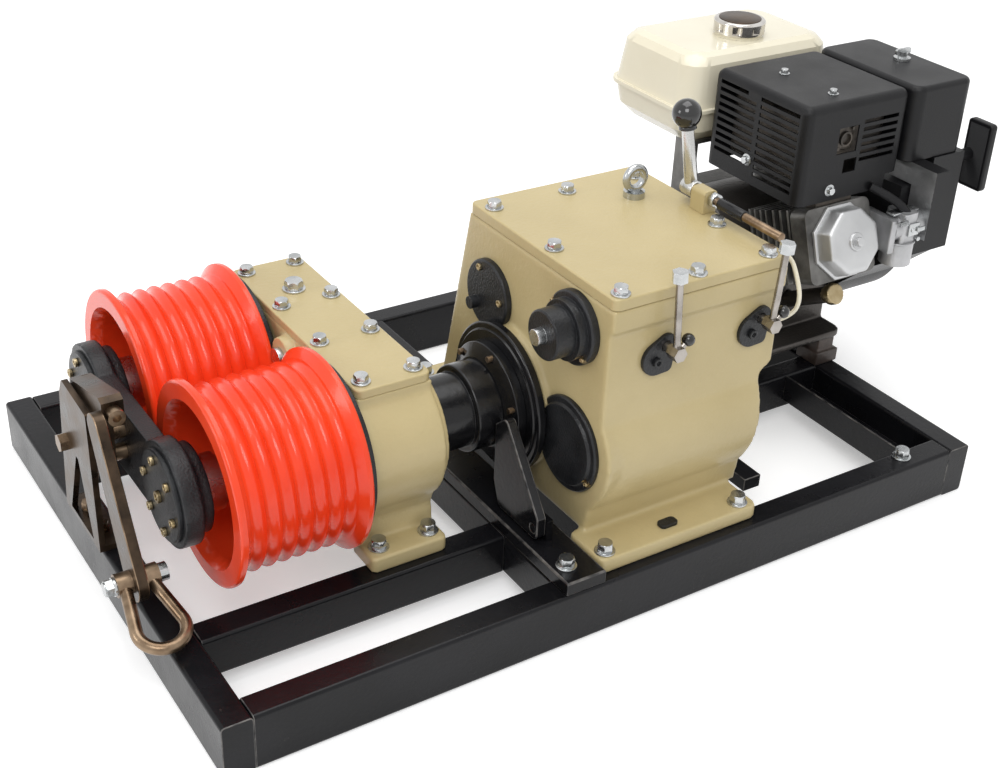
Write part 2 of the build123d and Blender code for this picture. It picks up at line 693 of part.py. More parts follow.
def brake_disc():
    """Disc with a rounded rim and a shallow step on its left face."""
    x0, x1 = HUB_END_X, HUB_END_X + BRAKE_DISC_THICKNESS
    rim = BRAKE_DISC_R
    points = [(x0, SHAFT_R + SEAT), (x0, rim - 10), (x0 + 3, rim - 10), (x0 + 3, rim - 2), (x0 + 5, rim)]
    points += [(x1 - 2, rim), (x1, rim - 2), (x1, SHAFT_R + SEAT)]
    return turned_x(points, -DRUM_SPREAD, AXLE_Z)


def coupling_screws():
    """Screws in the cone of the hub."""
    circle_r = (RING_R + 2 + COUPLING_HUB_R) / 2 + 2
    x = RING_END_X + COUPLING_CONE_LENGTH / 2
    screws = []
    for i in range(COUPLING_SCREW_COUNT):
        angle = 2 * math.pi * (i + 0.7) / COUPLING_SCREW_COUNT
        y = -DRUM_SPREAD + circle_r * math.cos(angle)
        screws.append(bar_x(x - 5.0, x + 5.0, y, AXLE_Z + circle_r * math.sin(angle), 4.5) - coupling_hub())
    return joined(*screws)


# Main gearbox


def main_case_form():
    """Case body: one end outline drawn out, with its right side stepped in below."""
    low = FOOT_TOP_Z - 1
    band_z = MAIN_COVER_Z - MAIN_BAND_HEIGHT
    foot_far = (MAIN_BULGE_FAR_Y - 14, low)
    shoulder = (MAIN_WALL_Y, MAIN_SHOULDER_Z)
    waist = (MAIN_WALL_Y + 15, FOOT_TOP_Z + MAIN_WAIST_RISE)
    with BuildPart() as end_form:
        with BuildSketch(Plane.YZ):
            with BuildLine():
                Polyline(foot_far, (MAIN_BULGE_FAR_Y, MAIN_BULGE_FAR_Z), (MAIN_FAR_Y, MAIN_COVER_Z))
                Polyline((MAIN_FAR_Y, MAIN_COVER_Z), (MAIN_NEAR_Y, MAIN_COVER_Z), (MAIN_NEAR_Y, band_z))
                Polyline((MAIN_NEAR_Y, band_z), (MAIN_WALL_Y, band_z - MAIN_BAND_STEP), shoulder)
                ThreePointArc(shoulder, (MAIN_BULGE_NEAR_Y, MAIN_BULGE_NEAR_Z), waist)
                Polyline(waist, (MAIN_WALL_Y + 21, low), foot_far)
            make_face()
        extrude(amount=MAIN_LENGTH, dir=(1, 0, 0))
    body = Pos(MAIN_X, 0, 0) * end_form.part
    out = MAIN_END_X + 1
    step = [(MAIN_END_X - MAIN_STEP, low - 1), (MAIN_END_X - MAIN_STEP, MAIN_STEP_Z - 14)]
    step += [(MAIN_END_X, MAIN_STEP_Z), (out, MAIN_STEP_Z), (out, low - 1)]
    return body - extrude(Plane.XZ * make_face(Polyline(step, close=True)), HALF_WIDTH, both=True)


def main_case():
    """Case with feet, cast bosses round the caps, the clutch boss and the shaft sockets."""
    case = main_case_form()
    left = MAIN_X
    y, z = LOWER_NEAR_CAP
    boss = bar_x(left, left + 40, y, z, LOWER_NEAR_CAP_R + CAST_BOSS_MARGIN)
    case += boss
    near, far = MAIN_FOOT_NEAR_Y, MAIN_FOOT_FAR_Y
    case += soft_block(MAIN_FOOT_X, MAIN_FOOT_END_X, near, near + 75, DECK_Z, FOOT_TOP_Z, FOOT_CORNER)
    case += soft_block(MAIN_FOOT_X + 20, MAIN_FOOT_END_X, far - 130, far, DECK_Z, FOOT_TOP_Z, FOOT_CORNER)
    case += bar_x(MAIN_END_X - 76, MAIN_END_X, CRANK_Y, CRANK_Z, BELL_R)
    case -= bar_x(left - 1, left + SHAFT_SOCKET_DEPTH, -DRUM_SPREAD, AXLE_Z, SHAFT_R + RUNNING)
    return case - bar_x(MAIN_END_X - CRANK_SOCKET_DEPTH, MAIN_END_X + 1, CRANK_Y, CRANK_Z, CRANK_R + RUNNING)


def main_cover():
    """Cover plate, with the lug that carries the clutch lever's rod."""
    plate = soft_cover(MAIN_X, MAIN_END_X, MAIN_NEAR_Y, MAIN_FAR_Y, MAIN_COVER_Z, MAIN_TOP_Z)
    y0, y1 = LEVER_BRACKET_Y, LEVER_BRACKET_Y + LEVER_BRACKET_LENGTH
    lug = block(CLUTCH_ROD_X - 15, CLUTCH_ROD_X + 7.5, y0, y1, MAIN_TOP_Z, CLUTCH_ROD_Z + 12)
    lug = fillet(lug.edges().filter_by(Axis.Y).sort_by(Axis.Z)[-2:], 6.0)
    lug -= bar_y(CLUTCH_ROD_X, y0 - 1, y1 + 1, CLUTCH_ROD_Z, CLUTCH_ROD_R + RUNNING)
    return joined(plate, lug)


def lifting_eye():
    """Ring on a collar; the ring's bore has a short straight land."""
    ring = Rot(90, 0, 0) * (Torus(EYE_RING_R, EYE_BAR_R) - Cylinder(EYE_HOLE_R, 4 * EYE_BAR_R))
    collar = bar_z(0, 0, -EYE_HEIGHT, -EYE_HEIGHT + 9, 15.0)
    neck = bar_z(0, 0, -EYE_HEIGHT + 8, -EYE_RING_R - 0.5, 8.0)
    return Pos(EYE_X, EYE_Y, MAIN_TOP_Z + EYE_HEIGHT) * (ring + collar + neck)


def upper_far_cap():
    """Flat cap with a small knob."""
    x, r, deep = MAIN_X, UPPER_FAR_CAP_R, CAP_THICKNESS
    y, z = UPPER_FAR_CAP
    cap = turned_x([(x, 0), (x, r), (x - deep + 2, r), (x - deep, r - 2), (x - deep, 0)], y, z)
    screws = [cap_screw_x(x - deep, y + dy, z + dz, 5.0, 4.0) for dy, dz in ((-36, 4), (16, 36))]
    return joined(cap + bar_x(x - deep - 12, x - deep, y + 23, z - 19, 9.0), *screws)


def lower_near_cap():
    """Wide cap with a raised disc."""
    x, r = MAIN_X, LOWER_NEAR_CAP_R
    y, z = LOWER_NEAR_CAP
    points = [(x, 0), (x, r), (x - 5, r), (x - 7, r - 2), (x - 7, r - 9), (x - 11, r - 11), (x - 11, 0)]
    return joined(turned_x(points, y, z), cap_screw_x(x - 7, y - 52.5, z - 31.5, 3.4, 4.0))


def upper_near_cap():
    """Flange, collar and stub, turned in one piece, with a nipple boss at the end."""
    x, r = MAIN_X, UPPER_NEAR_CAP_R
    y, z = UPPER_NEAR_CAP
    points = [(x, 0), (x, r), (x - 10, r), (x - 12, r - 2), (x - 12, r - 9), (x - 24, r - 9), (x - 24, r - 16)]
    points += [(x - 51, r - 16), (x - 53, r - 18), (x - 53, 11), (x - 65, 11), (x - 65, 0)]
    screws = [cap_screw_x(x - 12, y + dy, z + dz, 3.2, 4.0) for dy, dz in ((-33, -29), (38, 22))]
    return joined(turned_x(points, y, z), *screws)


def side_caps():
    """Black round caps on the faces of both gearboxes, and the oval plug on the near foot."""
    oval = extrude(Pos(57.0, MAIN_FOOT_NEAR_Y + 24, FOOT_TOP_Z) * RectangleRounded(28, 16, 6), 5.0)
    face = DRUM_BOX_X - SIDE_BOSS_LENGTH
    plug = bar_x(face - 8, face, 0, SIDE_BOSS_Z, SIDE_PLUG_R)
    return joined(upper_far_cap(), lower_near_cap(), upper_near_cap(), oval, plug)


# Shift levers


def shift_plates():
    """Teardrop flange and its screw for each shift shaft."""
    pieces = []
    y1 = MAIN_WALL_Y
    y0 = y1 - SHIFT_PLATE_THICKNESS
    rims = [Pos(-12, -16) * Circle(23.0), Pos(4, -30) * Circle(8.0), Pos(2, 2) * Circle(14.0)]
    outline = make_hull([edge for rim in rims for edge in rim.edges()])
    for x in (SHIFT_A_X, SHIFT_B_X):
        plate = Pos(x, y1, SHIFT_Z) * extrude(Plane.XZ * outline, SHIFT_PLATE_THICKNESS)
        pieces.append(plate - bar_y(x, y0 - 1, y1 + 1, SHIFT_Z, SHIFT_SHAFT_R + RUNNING))
        head = bar_y(x - 14, y0 - 5, y0, SHIFT_Z - 19, 6.5)
        pieces.append(head - bar_y(x - 14, y0 - 5, y0 - 2, SHIFT_Z - 19, 3.0))
    return joined(*pieces)


def shift_lever(x, lean):
    """Shaft, nut, stick with a hexagon top, and the short arm with its ball."""
    y0 = MAIN_WALL_Y - GAP
    y1 = y0 - SHIFT_SHAFT_LENGTH
    place = Pos(x, y1 + 9.0, SHIFT_Z)
    body = bar_y(x, y1, y0, SHIFT_Z, SHIFT_SHAFT_R)
    body += Pos(x, y1 + 18.0, SHIFT_Z) * Rot(90, 0, 0) * hex_prism(18.0, 18.0)
    stick = Pos(0, 0, SHIFT_STICK_LENGTH / 2) * Cylinder(SHIFT_STICK_R, SHIFT_STICK_LENGTH)
    top = Pos(0, 0, SHIFT_STICK_LENGTH) * hex_prism(18.0, 14.0)
    body += place * Rot(0, lean, 0) * (stick + top)
    arm = Pos(0, 0, 11) * Cylinder(4.0, 22) + Pos(0, 0, 22) * Sphere(8.5)
    return body + place * Rot(0, 50, 0) * arm


# Clutch lever


def clutch_place():
    """Place of the stick's foot, leaning left and back."""
    return Pos(CLUTCH_ROD_X, CLUTCH_LEVER_Y, CLUTCH_ROD_Z) * Rot(-6, -7, 0)


def clutch_lever():
    """Cross rod, hub and stick, and the ball knob on its end."""
    rod = bar_y(CLUTCH_ROD_X, CLUTCH_ROD_END_Y, CLUTCH_LEVER_Y + 12, CLUTCH_ROD_Z, CLUTCH_ROD_R)
    y1 = LEVER_BRACKET_Y - GAP
    sleeve = bar_y(CLUTCH_ROD_X, y1 - 60, y1, CLUTCH_ROD_Z, CLUTCH_ROD_R + 1.8)
    hub = bar_y(CLUTCH_ROD_X, CLUTCH_LEVER_Y - 12, CLUTCH_LEVER_Y + 12, CLUTCH_ROD_Z, 12.0)
    stick = Pos(0, 0, CLUTCH_STICK_LENGTH / 2) * Cylinder(CLUTCH_STICK_R, CLUTCH_STICK_LENGTH)
    ball = Pos(0, 0, CLUTCH_BALL_HEIGHT) * Sphere(CLUTCH_BALL_R)
    ball -= Pos(0, 0, CLUTCH_STICK_LENGTH / 2) * Cylinder(CLUTCH_STICK_R + SEAT, CLUTCH_STICK_LENGTH + SEAT)
    return joined(rod + sleeve + hub + clutch_place() * stick, clutch_place() * ball)


# Pawl


def pawl():
    """Tapered plate that turns on a pin above the cross bar."""
    outline = [(-200, 226), (-224, 246), (-307, 136), (-307, 103), (-214, 103), (-200, 139)]
    plate = plate_x(outline, PAWL_X, PAWL_X + PAWL_THICKNESS, 8.0)
    y, z = PAWL_PIVOT
    return plate - bar_x(PAWL_X - 1, PAWL_X + PAWL_THICKNESS + 1, y, z, PAWL_PIN_R + RUNNING)


def pawl_pin():
    """Pin with a lug that stands on the cross bar."""
    y, z = PAWL_PIVOT
    lug_x = PAWL_X + PAWL_THICKNESS + GAP
    lug = block(lug_x, lug_x + 10, y - 12, y + 12, BAR_TOP_Z, z + 12)
    return lug + bar_x(PAWL_X, lug_x + 1, y, z, PAWL_PIN_R)


# Anchor bracket


def anchor_plate(x0):
    """A-shaped plate with an inverted V cut out of its foot."""
    near, far, top = ANCHOR_NEAR_Y, ANCHOR_FAR_Y, ANCHOR_HEAD_Z
    outline = [(near, DECK_Z), (far, DECK_Z), (far - 32, top - 14), (far - 47, top + 11), (near - 4, top + 5)]
    plate = plate_x(outline, x0, x0 + ANCHOR_PLATE, 4.0)
    middle = 30.0
    foot_z = DECK_Z + ANCHOR_PLATE
    notch = [(middle - 32, foot_z), (middle + 54, foot_z), (middle + 4, foot_z + 108), (middle - 4, foot_z + 108)]
    return plate - plate_x(notch, x0 - 1, x0 + ANCHOR_PLATE + 1)


def anchor_bracket():
    """Two A plates on a foot flange, under a sloping head block."""
    x0, x1 = ANCHOR_X, ANCHOR_X + ANCHOR_DEPTH
    head_z = ANCHOR_HEAD_Z
    body = anchor_plate(x0) + anchor_plate(x1 - ANCHOR_PLATE)
    body += block(x0, x1, ANCHOR_NEAR_Y, ANCHOR_FAR_Y, DECK_Z, DECK_Z + ANCHOR_PLATE)
    body += block(x0, x1, ANCHOR_NEAR_Y, ANCHOR_HEAD_FAR_Y, head_z - 27, head_z + 3)
    head = [(ANCHOR_HEAD_NEAR_Y, head_z), (ANCHOR_HEAD_NEAR_Y, head_z + 36), (ANCHOR_HEAD_NEAR_Y + 10, head_z + 40)]
    head += [(ANCHOR_HEAD_FAR_Y, head_z + 10), (ANCHOR_HEAD_FAR_Y, head_z)]
    return body + plate_x(head, ARM_X + ARM_THICKNESS / 2, x1 + 5)


def anchor_bolts():
    """Spacers to the bridge and the bracket's own bolts."""
    x1 = ANCHOR_X + ANCHOR_DEPTH
    pieces = [bar_x(x1, BRIDGE_X, y, z, SPACER_R) for y in (0.0, 56.0) for z in (208.0, 240.0)]
    pieces.append(Pos(ANCHOR_X, 66, 201) * Rot(0, -90, 0) * hex_prism(22.0, 12.0))
    pieces += [hex_bolt(ANCHOR_X + ANCHOR_DEPTH / 2, y, DECK_Z + ANCHOR_PLATE, 15.0, 9.0, 8.8) for y in (14.0, 68.0)]
    x = ARM_X + ARM_THICKNESS / 2 + 14.0
    y, z = ANCHOR_HEAD_NEAR_Y, ANCHOR_HEAD_Z + 20
    pieces.append(bar_y(x, y - 14, y, z, SPACER_R) - bar_y(x, y - 14, y - 7, z, SPACER_R / 2))
    return joined(*pieces)


def anchor_arm():
    """Flat bar from the head block down to the shackle pin, rounded at both ends."""
    x0, x1 = ARM_X - ARM_THICKNESS / 2, ARM_X + ARM_THICKNESS / 2
    top = Pos(ANCHOR_HEAD_NEAR_Y - 2, ANCHOR_HEAD_Z + 8) * Circle(ARM_TOP_R)
    low = Pos(PIN_Y, PIN_Z) * Circle(ARM_END_R)
    outline = make_hull([*top.edges(), *low.edges()])
    arm = Pos(x0, 0, 0) * extrude(Plane.YZ * outline, ARM_THICKNESS)
    return arm - bar_x(x0 - 1, x1 + 1, PIN_Y, PIN_Z, PIN_R + SEAT)


def shackle_pin():
    """Pin with a nut and washer at the left and a collar at the right."""
    reach = ARM_THICKNESS / 2 + BOW_EYE_LENGTH + 2 * GAP
    pin = bar_x(ARM_X - reach - 14, ARM_X + reach + 1, PIN_Y, PIN_Z, PIN_R)
    pin += bar_x(ARM_X - reach - 3, ARM_X - reach, PIN_Y, PIN_Z, PIN_COLLAR_R)
    pin += Pos(ARM_X - reach - 3, PIN_Y, PIN_Z) * Rot(0, -90, 0) * hex_prism(20.0, 9.0)
    return pin + bar_x(ARM_X + reach, ARM_X + reach + 11, PIN_Y, PIN_Z, PIN_COLLAR_R)


def shackle_bow():
    """Bow of round bar: two legs that run tangent into a round end, and two eyes."""
    distance = math.hypot(BOW_EYE_OFFSET, BOW_CENTRE)
    touch = math.atan2(BOW_CENTRE, BOW_EYE_OFFSET) - math.acos(BOW_R / distance)
    leg_x, leg_y = BOW_R * math.cos(touch), -BOW_CENTRE + BOW_R * math.sin(touch)
    with BuildPart() as bow:
        with BuildLine() as path:
            Line((-BOW_EYE_OFFSET, 0), (-leg_x, leg_y))
            ThreePointArc((-leg_x, leg_y), (0, -BOW_CENTRE - BOW_R), (leg_x, leg_y))
            Line((leg_x, leg_y), (BOW_EYE_OFFSET, 0))
        with BuildSketch(Plane(origin=path.line @ 0, z_dir=path.line % 0)):
            Circle(BOW_BAR_R)
        sweep()
    body = bow.part
    inner = ARM_THICKNESS / 2 + GAP
    for x0 in (-inner - BOW_EYE_LENGTH, inner):
        body += bar_x(x0, x0 + BOW_EYE_LENGTH, 0, 0, BOW_EYE_R)
    body -= bar_x(-2 * BOW_R, 2 * BOW_R, 0, 0, PIN_R + RUNNING)
    body -= block(-inner, inner, -ARM_END_R - 2, ARM_END_R, -BOW_EYE_R, BOW_EYE_R)
    return Pos(ARM_X, PIN_Y, PIN_Z) * Rot(BOW_DROOP, 0, 0) * body


# Clutch bell and engine shaft


def clutch_bell():
    """Open bell bolted to the right face of the main gearbox."""
    x0, x1 = MAIN_END_X, BELL_END_X
    mouth = BELL_R - 12 - BELL_WALL
    points = [(x0, CRANK_R + 6), (x0, BELL_R), (x1 - 15, BELL_R), (x1, BELL_R - 12), (x1, mouth)]
    points += [(x0 + BELL_WALL, mouth), (x0 + BELL_WALL, CRANK_R + 6)]
    return turned_x(points, CRANK_Y, CRANK_Z)


def crankshaft():
    """Engine shaft with the clutch drum turned on it."""
    shaft = bar_x(MAIN_END_X - CRANK_SOCKET_DEPTH + 2, ENGINE_X + 30, CRANK_Y, CRANK_Z, CRANK_R)
    x1 = ENGINE_X - 20
    return shaft + bar_x(x1 - CLUTCH_DRUM_LENGTH, x1, CRANK_Y, CRANK_Z, CLUTCH_DRUM_R)


# Engine


def engine_feet():
    """Cast blocks between the rails and the engine's base."""
    middle = (DECK_Z + ENGINE_BASE_Z) / 2
    size = ENGINE_FOOT_SIZE
    feet = []
    for x0 in (ENGINE_X - 2, ENGINE_END_X - size - 2):
        for y0 in (ENGINE_NEAR_Y, ENGINE_FAR_Y - size):
            foot = block(x0, x0 + size, y0, y0 + size, DECK_Z, middle)
            feet.append(foot + block(x0 + 6, x0 + size - 6, y0 + 6, y0 + size - 6, middle, ENGINE_BASE_Z))
    return joined(*feet)


def crankcase_form():
    """Outside of the crankcase on its base flange."""
    x0, x1 = ENGINE_X, ENGINE_END_X
    top = ENGINE_BASE_Z + ENGINE_BASE_THICKNESS
    body = soft_block(x0 - 5, x1, ENGINE_NEAR_Y, ENGINE_FAR_Y, ENGINE_BASE_Z, top, 15.0)
    body += block(x0, x1, CRANK_Y - CRANKCASE_R, CRANK_Y + CRANKCASE_R, top - 1, CRANK_Z)
    body += bar_x(x0, x1, CRANK_Y, CRANK_Z, CRANKCASE_R)
    return body + bar_x(x0 - 5, x0, CRANK_Y, CRANK_Z, 70.0)


def oil_filler():
    """Slanted filler neck with a screw cap, below the cylinder."""
    near = CRANK_Y - CRANKCASE_R
    neck = Pos(0, 0, 53) * Cylinder(13.0, 106) + Pos(0, 0, 112) * Cylinder(17.0, 14)
    neck = Pos(CYLINDER_X + 29, near, 190) * Rot(61, 0, 0) * neck
    return neck - block(ENGINE_X, ENGINE_END_X, near, CRANK_Y, 0, CRANK_Z)


def crankcase():
    """Crankcase bored for the engine shaft, with the oil filler."""
    bore = bar_x(ENGINE_X - 6, ENGINE_X + 31, CRANK_Y, CRANK_Z, CRANK_R + RUNNING)
    return joined(crankcase_form() - bore, oil_filler())


def on_cylinder(shape):
    """Place a shape whose Z is the cylinder's axis and whose Y is its upper side."""
    return Pos(CYLINDER_X, CRANK_Y, CRANK_Z) * Rot(90 - CYLINDER_TILT, 0, 0) * shape


def cylinder_and_head():
    """Finned barrel, and the head as a solid of its own."""
    barrel = Pos(0, 0, (60 + HEAD_START) / 2) * Box(104, 96, HEAD_START - 60)
    for i in range(FIN_COUNT):
        width = 136 - 3 * abs(i - FIN_COUNT // 2)
        barrel += Pos(0, 0, FIN_START + FIN_PITCH * i) * Box(width, 2 * HEAD_HALF_HEIGHT, FIN_THICKNESS)
    barrel = on_cylinder(barrel) - crankcase_form()
    head = Box(2 * HEAD_HALF_WIDTH, 2 * HEAD_HALF_HEIGHT, HEAD_THICKNESS)
    head = Pos(0, 0, HEAD_START + HEAD_THICKNESS / 2) * head
    head = fillet(head.edges().filter_by(Axis.Z), 12.0)
    return joined(barrel, on_cylinder(head))


def rocker_cover():
    """Pressed cover: an eight-sided lip, a tapering wall and a raised face with a bolt."""
    start = HEAD_START + HEAD_THICKNESS
    lip = Pos(0, 0, start) * extrude(RegularPolygon(ROCKER_R, 8, rotation=22.5), 5.0)
    rise = Pos(0, 0, ROCKER_DEPTH - 5)
    foot, top = RegularPolygon(ROCKER_R - 4, 8, rotation=22.5), RegularPolygon(ROCKER_R - 11, 8, rotation=22.5)
    wall = loft([foot, rise * top])
    face = Pos(0, 0, start + ROCKER_DEPTH) * Cylinder(17.0, 3.0)
    bolt = Pos(0, 0, start + ROCKER_DEPTH + 1.5) * hex_prism(15.0, 8.0)
    return on_cylinder(lip + Pos(0, 0, start + 5) * wall + face + bolt)


def guard_slots(x0, x1, y0, y1, count, start_z):
    """Column of slot cutters."""
    zs = [start_z + i * SLOT_PITCH for i in range(count)]
    return Compound([block(x0, x1, y0, y1, z, z + SLOT_HEIGHT) for z in zs])


def muffler_guard():
    """Open-bottomed steel shell with columns of slots."""
    x0, x1, y0, y1 = GUARD_X, GUARD_END_X, GUARD_NEAR_Y, GUARD_FAR_Y
    z0, z1, wall = GUARD_BOTTOM_Z, GUARD_TOP_Z, GUARD_WALL
    shell = soft_block(x0, x1, y0, y1, z0, z1, GUARD_CORNER)
    shell = fillet(shell.faces().sort_by(Axis.Z)[-1].edges(), GUARD_ROUND)
    inside = soft_block(x0 + wall, x1 - wall, y0 + wall, y1 - wall, z0 - 1, z1 - wall, GUARD_CORNER - wall)
    shell -= fillet(inside.faces().sort_by(Axis.Z)[-1].edges(), GUARD_ROUND - wall)
    shell -= guard_slots(x0 - 1, x0 + 6, y0 + 26, y0 + 92, SLOT_COUNT, z0 + 26)
    shell -= guard_slots(x0 - 1, x0 + 6, y0 + 108, y0 + 182, SLOT_COUNT, z0 + 26)
    return shell - guard_slots(x0 + 112, x0 + 180, y0 - 1, y0 + 6, 6, z0 + 52)


def muffler():
    """Round-edged can inside the guard, with its neck on the head and two posts."""
    x0, x1, y0, y1 = GUARD_X + 22, GUARD_END_X - 22, GUARD_NEAR_Y + 18, GUARD_FAR_Y - 20
    can = block(x0, x1, y0, y1, GUARD_BOTTOM_Z + 16, GUARD_TOP_Z - 24)
    can = fillet(can.edges(), 14.0)
    low = HEAD_HALF_HEIGHT + SEAT
    neck = on_cylinder(Pos(0, low + 25, HEAD_START + HEAD_THICKNESS / 2 - 2) * Box(70, 50, 22))
    for x in (GUARD_X + 55, GUARD_X + 145):
        can += bar_z(x, GUARD_NEAR_Y + 80, GUARD_TOP_Z - 40, GUARD_TOP_Z - GUARD_WALL, 8.0)
    return can + neck


def air_cleaner():
    """Black box with rounded corners."""
    body = soft_block(CLEANER_X, CLEANER_END_X, CLEANER_NEAR_Y, GUARD_FAR_Y, CLEANER_BOTTOM_Z, CLEANER_TOP_Z, 18.0)
    return fillet(body.faces().sort_by(Axis.Z)[-1].edges(), 8.0)


def wing_nut():
    """Wing nut on the air cleaner."""
    x, y, z = CLEANER_END_X - 42, -65.0, CLEANER_TOP_Z + GAP
    nut = bar_z(x, y, z, z + 4, 13.0) + bar_z(x, y, z + 4, z + 13, 7.0)
    wings = Pos(x, y, z + 13) * Box(30, 4, 9)
    return nut + fillet(wings.edges().filter_by(Axis.Y), 3.0)


def tank_level(z, inset, radius):
    """Rounded outline of the tank at one height."""
    middle = Pos((TANK_X + TANK_END_X) / 2, (TANK_NEAR_Y + TANK_FAR_Y) / 2, z)
    length = TANK_END_X - TANK_X - 2 * inset
    return middle * RectangleRounded(length, TANK_FAR_Y - TANK_NEAR_Y - 2 * inset, radius)


def fuel_tank():
    """Two pressed halves joined at a rolled seam, with a neck for the cap."""
    shoulder, crown_z, floor_z = TANK_TOP_Z - 15, TANK_TOP_Z - 4, TANK_BOTTOM_Z + 20
    r = TANK_CORNER_R
    tank = loft([tank_level(TANK_SEAM_Z, 5, r), tank_level(shoulder, 13, r)])
    tank += loft([tank_level(shoulder, 13, r), tank_level(crown_z, 21, r)])
    tank += loft([tank_level(crown_z, 21, r), tank_level(TANK_TOP_Z, 34, r - 10)])
    tank += loft([tank_level(floor_z, 10, r), tank_level(TANK_SEAM_Z, 5, r)])
    tank += loft([tank_level(TANK_BOTTOM_Z, 30, r - 10), tank_level(floor_z, 10, r)])
    tank += extrude(tank_level(TANK_SEAM_Z - 3, 0, r + 3), 6.0)
    return tank + bar_z(FUEL_CAP_X, FUEL_CAP_Y, TANK_TOP_Z - 2, TANK_TOP_Z + FUEL_NECK_HEIGHT, FUEL_CAP_R - 3)


def fuel_cap():
    """Cap with finger scallops round its rim."""
    z = TANK_TOP_Z + FUEL_NECK_HEIGHT + GAP
    cap = bar_z(FUEL_CAP_X, FUEL_CAP_Y, z, z + FUEL_CAP_HEIGHT, FUEL_CAP_R)
    cap = fillet(cap.edges().sort_by(Axis.Z)[-1], 4.0)
    reach = FUEL_CAP_R + 6
    for i in range(8):
        angle = math.radians(45 * i)
        x, y = FUEL_CAP_X + reach * math.cos(angle), FUEL_CAP_Y + reach * math.sin(angle)
        cap -= bar_z(x, y, z + 3, z + 15, 10.0)
    return cap


def tank_bracket():
    """Plate and legs that carry the tank on the crankcase."""
    x0, x1 = ENGINE_X + 15, ENGINE_END_X - 15
    y0, y1, leg = TANK_NEAR_Y + 24, TANK_FAR_Y - 34, TANK_NEAR_Y + 68
    foot_z = CRANK_Z + 30
    bracket = block(x0, x1, y0, y1, TANK_BOTTOM_Z - 6, TANK_BOTTOM_Z)
    bracket += block(x0, x0 + 10, y0, leg, foot_z, TANK_BOTTOM_Z - 5)
    bracket += block(x1 - 10, x1, y0, leg, foot_z, TANK_BOTTOM_Z - 5)
    bracket += block(x0, x1, y0, leg, foot_z, foot_z + 50)
    return bracket - bar_x(ENGINE_X, ENGINE_END_X, CRANK_Y, CRANK_Z, CRANKCASE_R + SEAT)


def blower_housing():
    """Fan housing, carried forward past the cylinder to the rope guide, with the recoil cover."""
    x0, x1, near = ENGINE_END_X, BLOWER_END_X, BLOWER_NEAR_Y
    front = [(CRANK_Y, CRANK_Z + BLOWER_R), (near, CRANK_Z + BLOWER_R + 6), (near, CRANK_Z + 14)]
    front += [(near + 27, CRANK_Z - 5), (CRANK_Y - 70, CRANK_Z - 105)]
    body = bar_x(x0, x1, CRANK_Y, CRANK_Z, BLOWER_R) + plate_x(front, x0, x1)
    guide_x = x1 - ROPE_GUIDE_LENGTH
    body += block(guide_x, x1, near, near + 75, CRANK_Z + BLOWER_R - 10, CLEANER_BOTTOM_Z)
    body -= bar_x(guide_x - 1, x1 + 1, GRIP_Y, GRIP_Z, ROPE_R + 1)
    r, x2 = RECOIL_R, x1 + RECOIL_DEPTH
    cover = [(x1, 0), (x1, r), (x1 + 8, r), (x2 - 9, r - 18), (x2 - 9, 46), (x2, 40), (x2, 0)]
    return joined(body, turned_x(cover, CRANK_Y, CRANK_Z))


def carburettor():
    """Body on the head's side, with a float bowl and the elbow to the air cleaner."""
    x0 = CYLINDER_X + HEAD_HALF_WIDTH
    x1 = x0 + CARB_LENGTH
    y, z = CARB_Y, CARB_Z
    body = soft_block(x0, x0 + 12, y - 18, y + 42, z - 32, z + 20, 3.0)
    body += bar_x(x0 + 10, x1, y, z, CARB_R)
    body += soft_block(x0 + 22, x0 + 52, y - 20, y + 20, z - 22, z + 26, 6.0)
    bowl_x = x0 + 37
    body += bar_z(bowl_x, y, z - 58, z - 20, BOWL_R) + bar_z(bowl_x, y, z - 64, z - 57, 6.0)
    body += block(x1, x1 + 26, y - 22, y + 22, z - 24, CLEANER_BOTTOM_Z)
    top_z = CRANK_Z + BLOWER_R + 8
    return body + block(x1, x1 + 26, y, CLEANER_NEAR_Y + 40, top_z, CLEANER_BOTTOM_Z)


def starter_grip():
    """T-handle with its stem, and the rope in the guide."""
    half = GRIP_LENGTH / 2 - GRIP_R
    handle = Cylinder(GRIP_R, 2 * half) + Pos(0, 0, half) * Sphere(GRIP_R) + Pos(0, 0, -half) * Sphere(GRIP_R)
    stem = bar_x(BLOWER_END_X + GAP, GRIP_X, GRIP_Y, GRIP_Z, 8.0)
    rope = bar_x(BLOWER_END_X - ROPE_GUIDE_LENGTH + 2, GRIP_X, GRIP_Y, GRIP_Z, ROPE_R)
    return Pos(GRIP_X, GRIP_Y, GRIP_Z) * handle + stem + rope


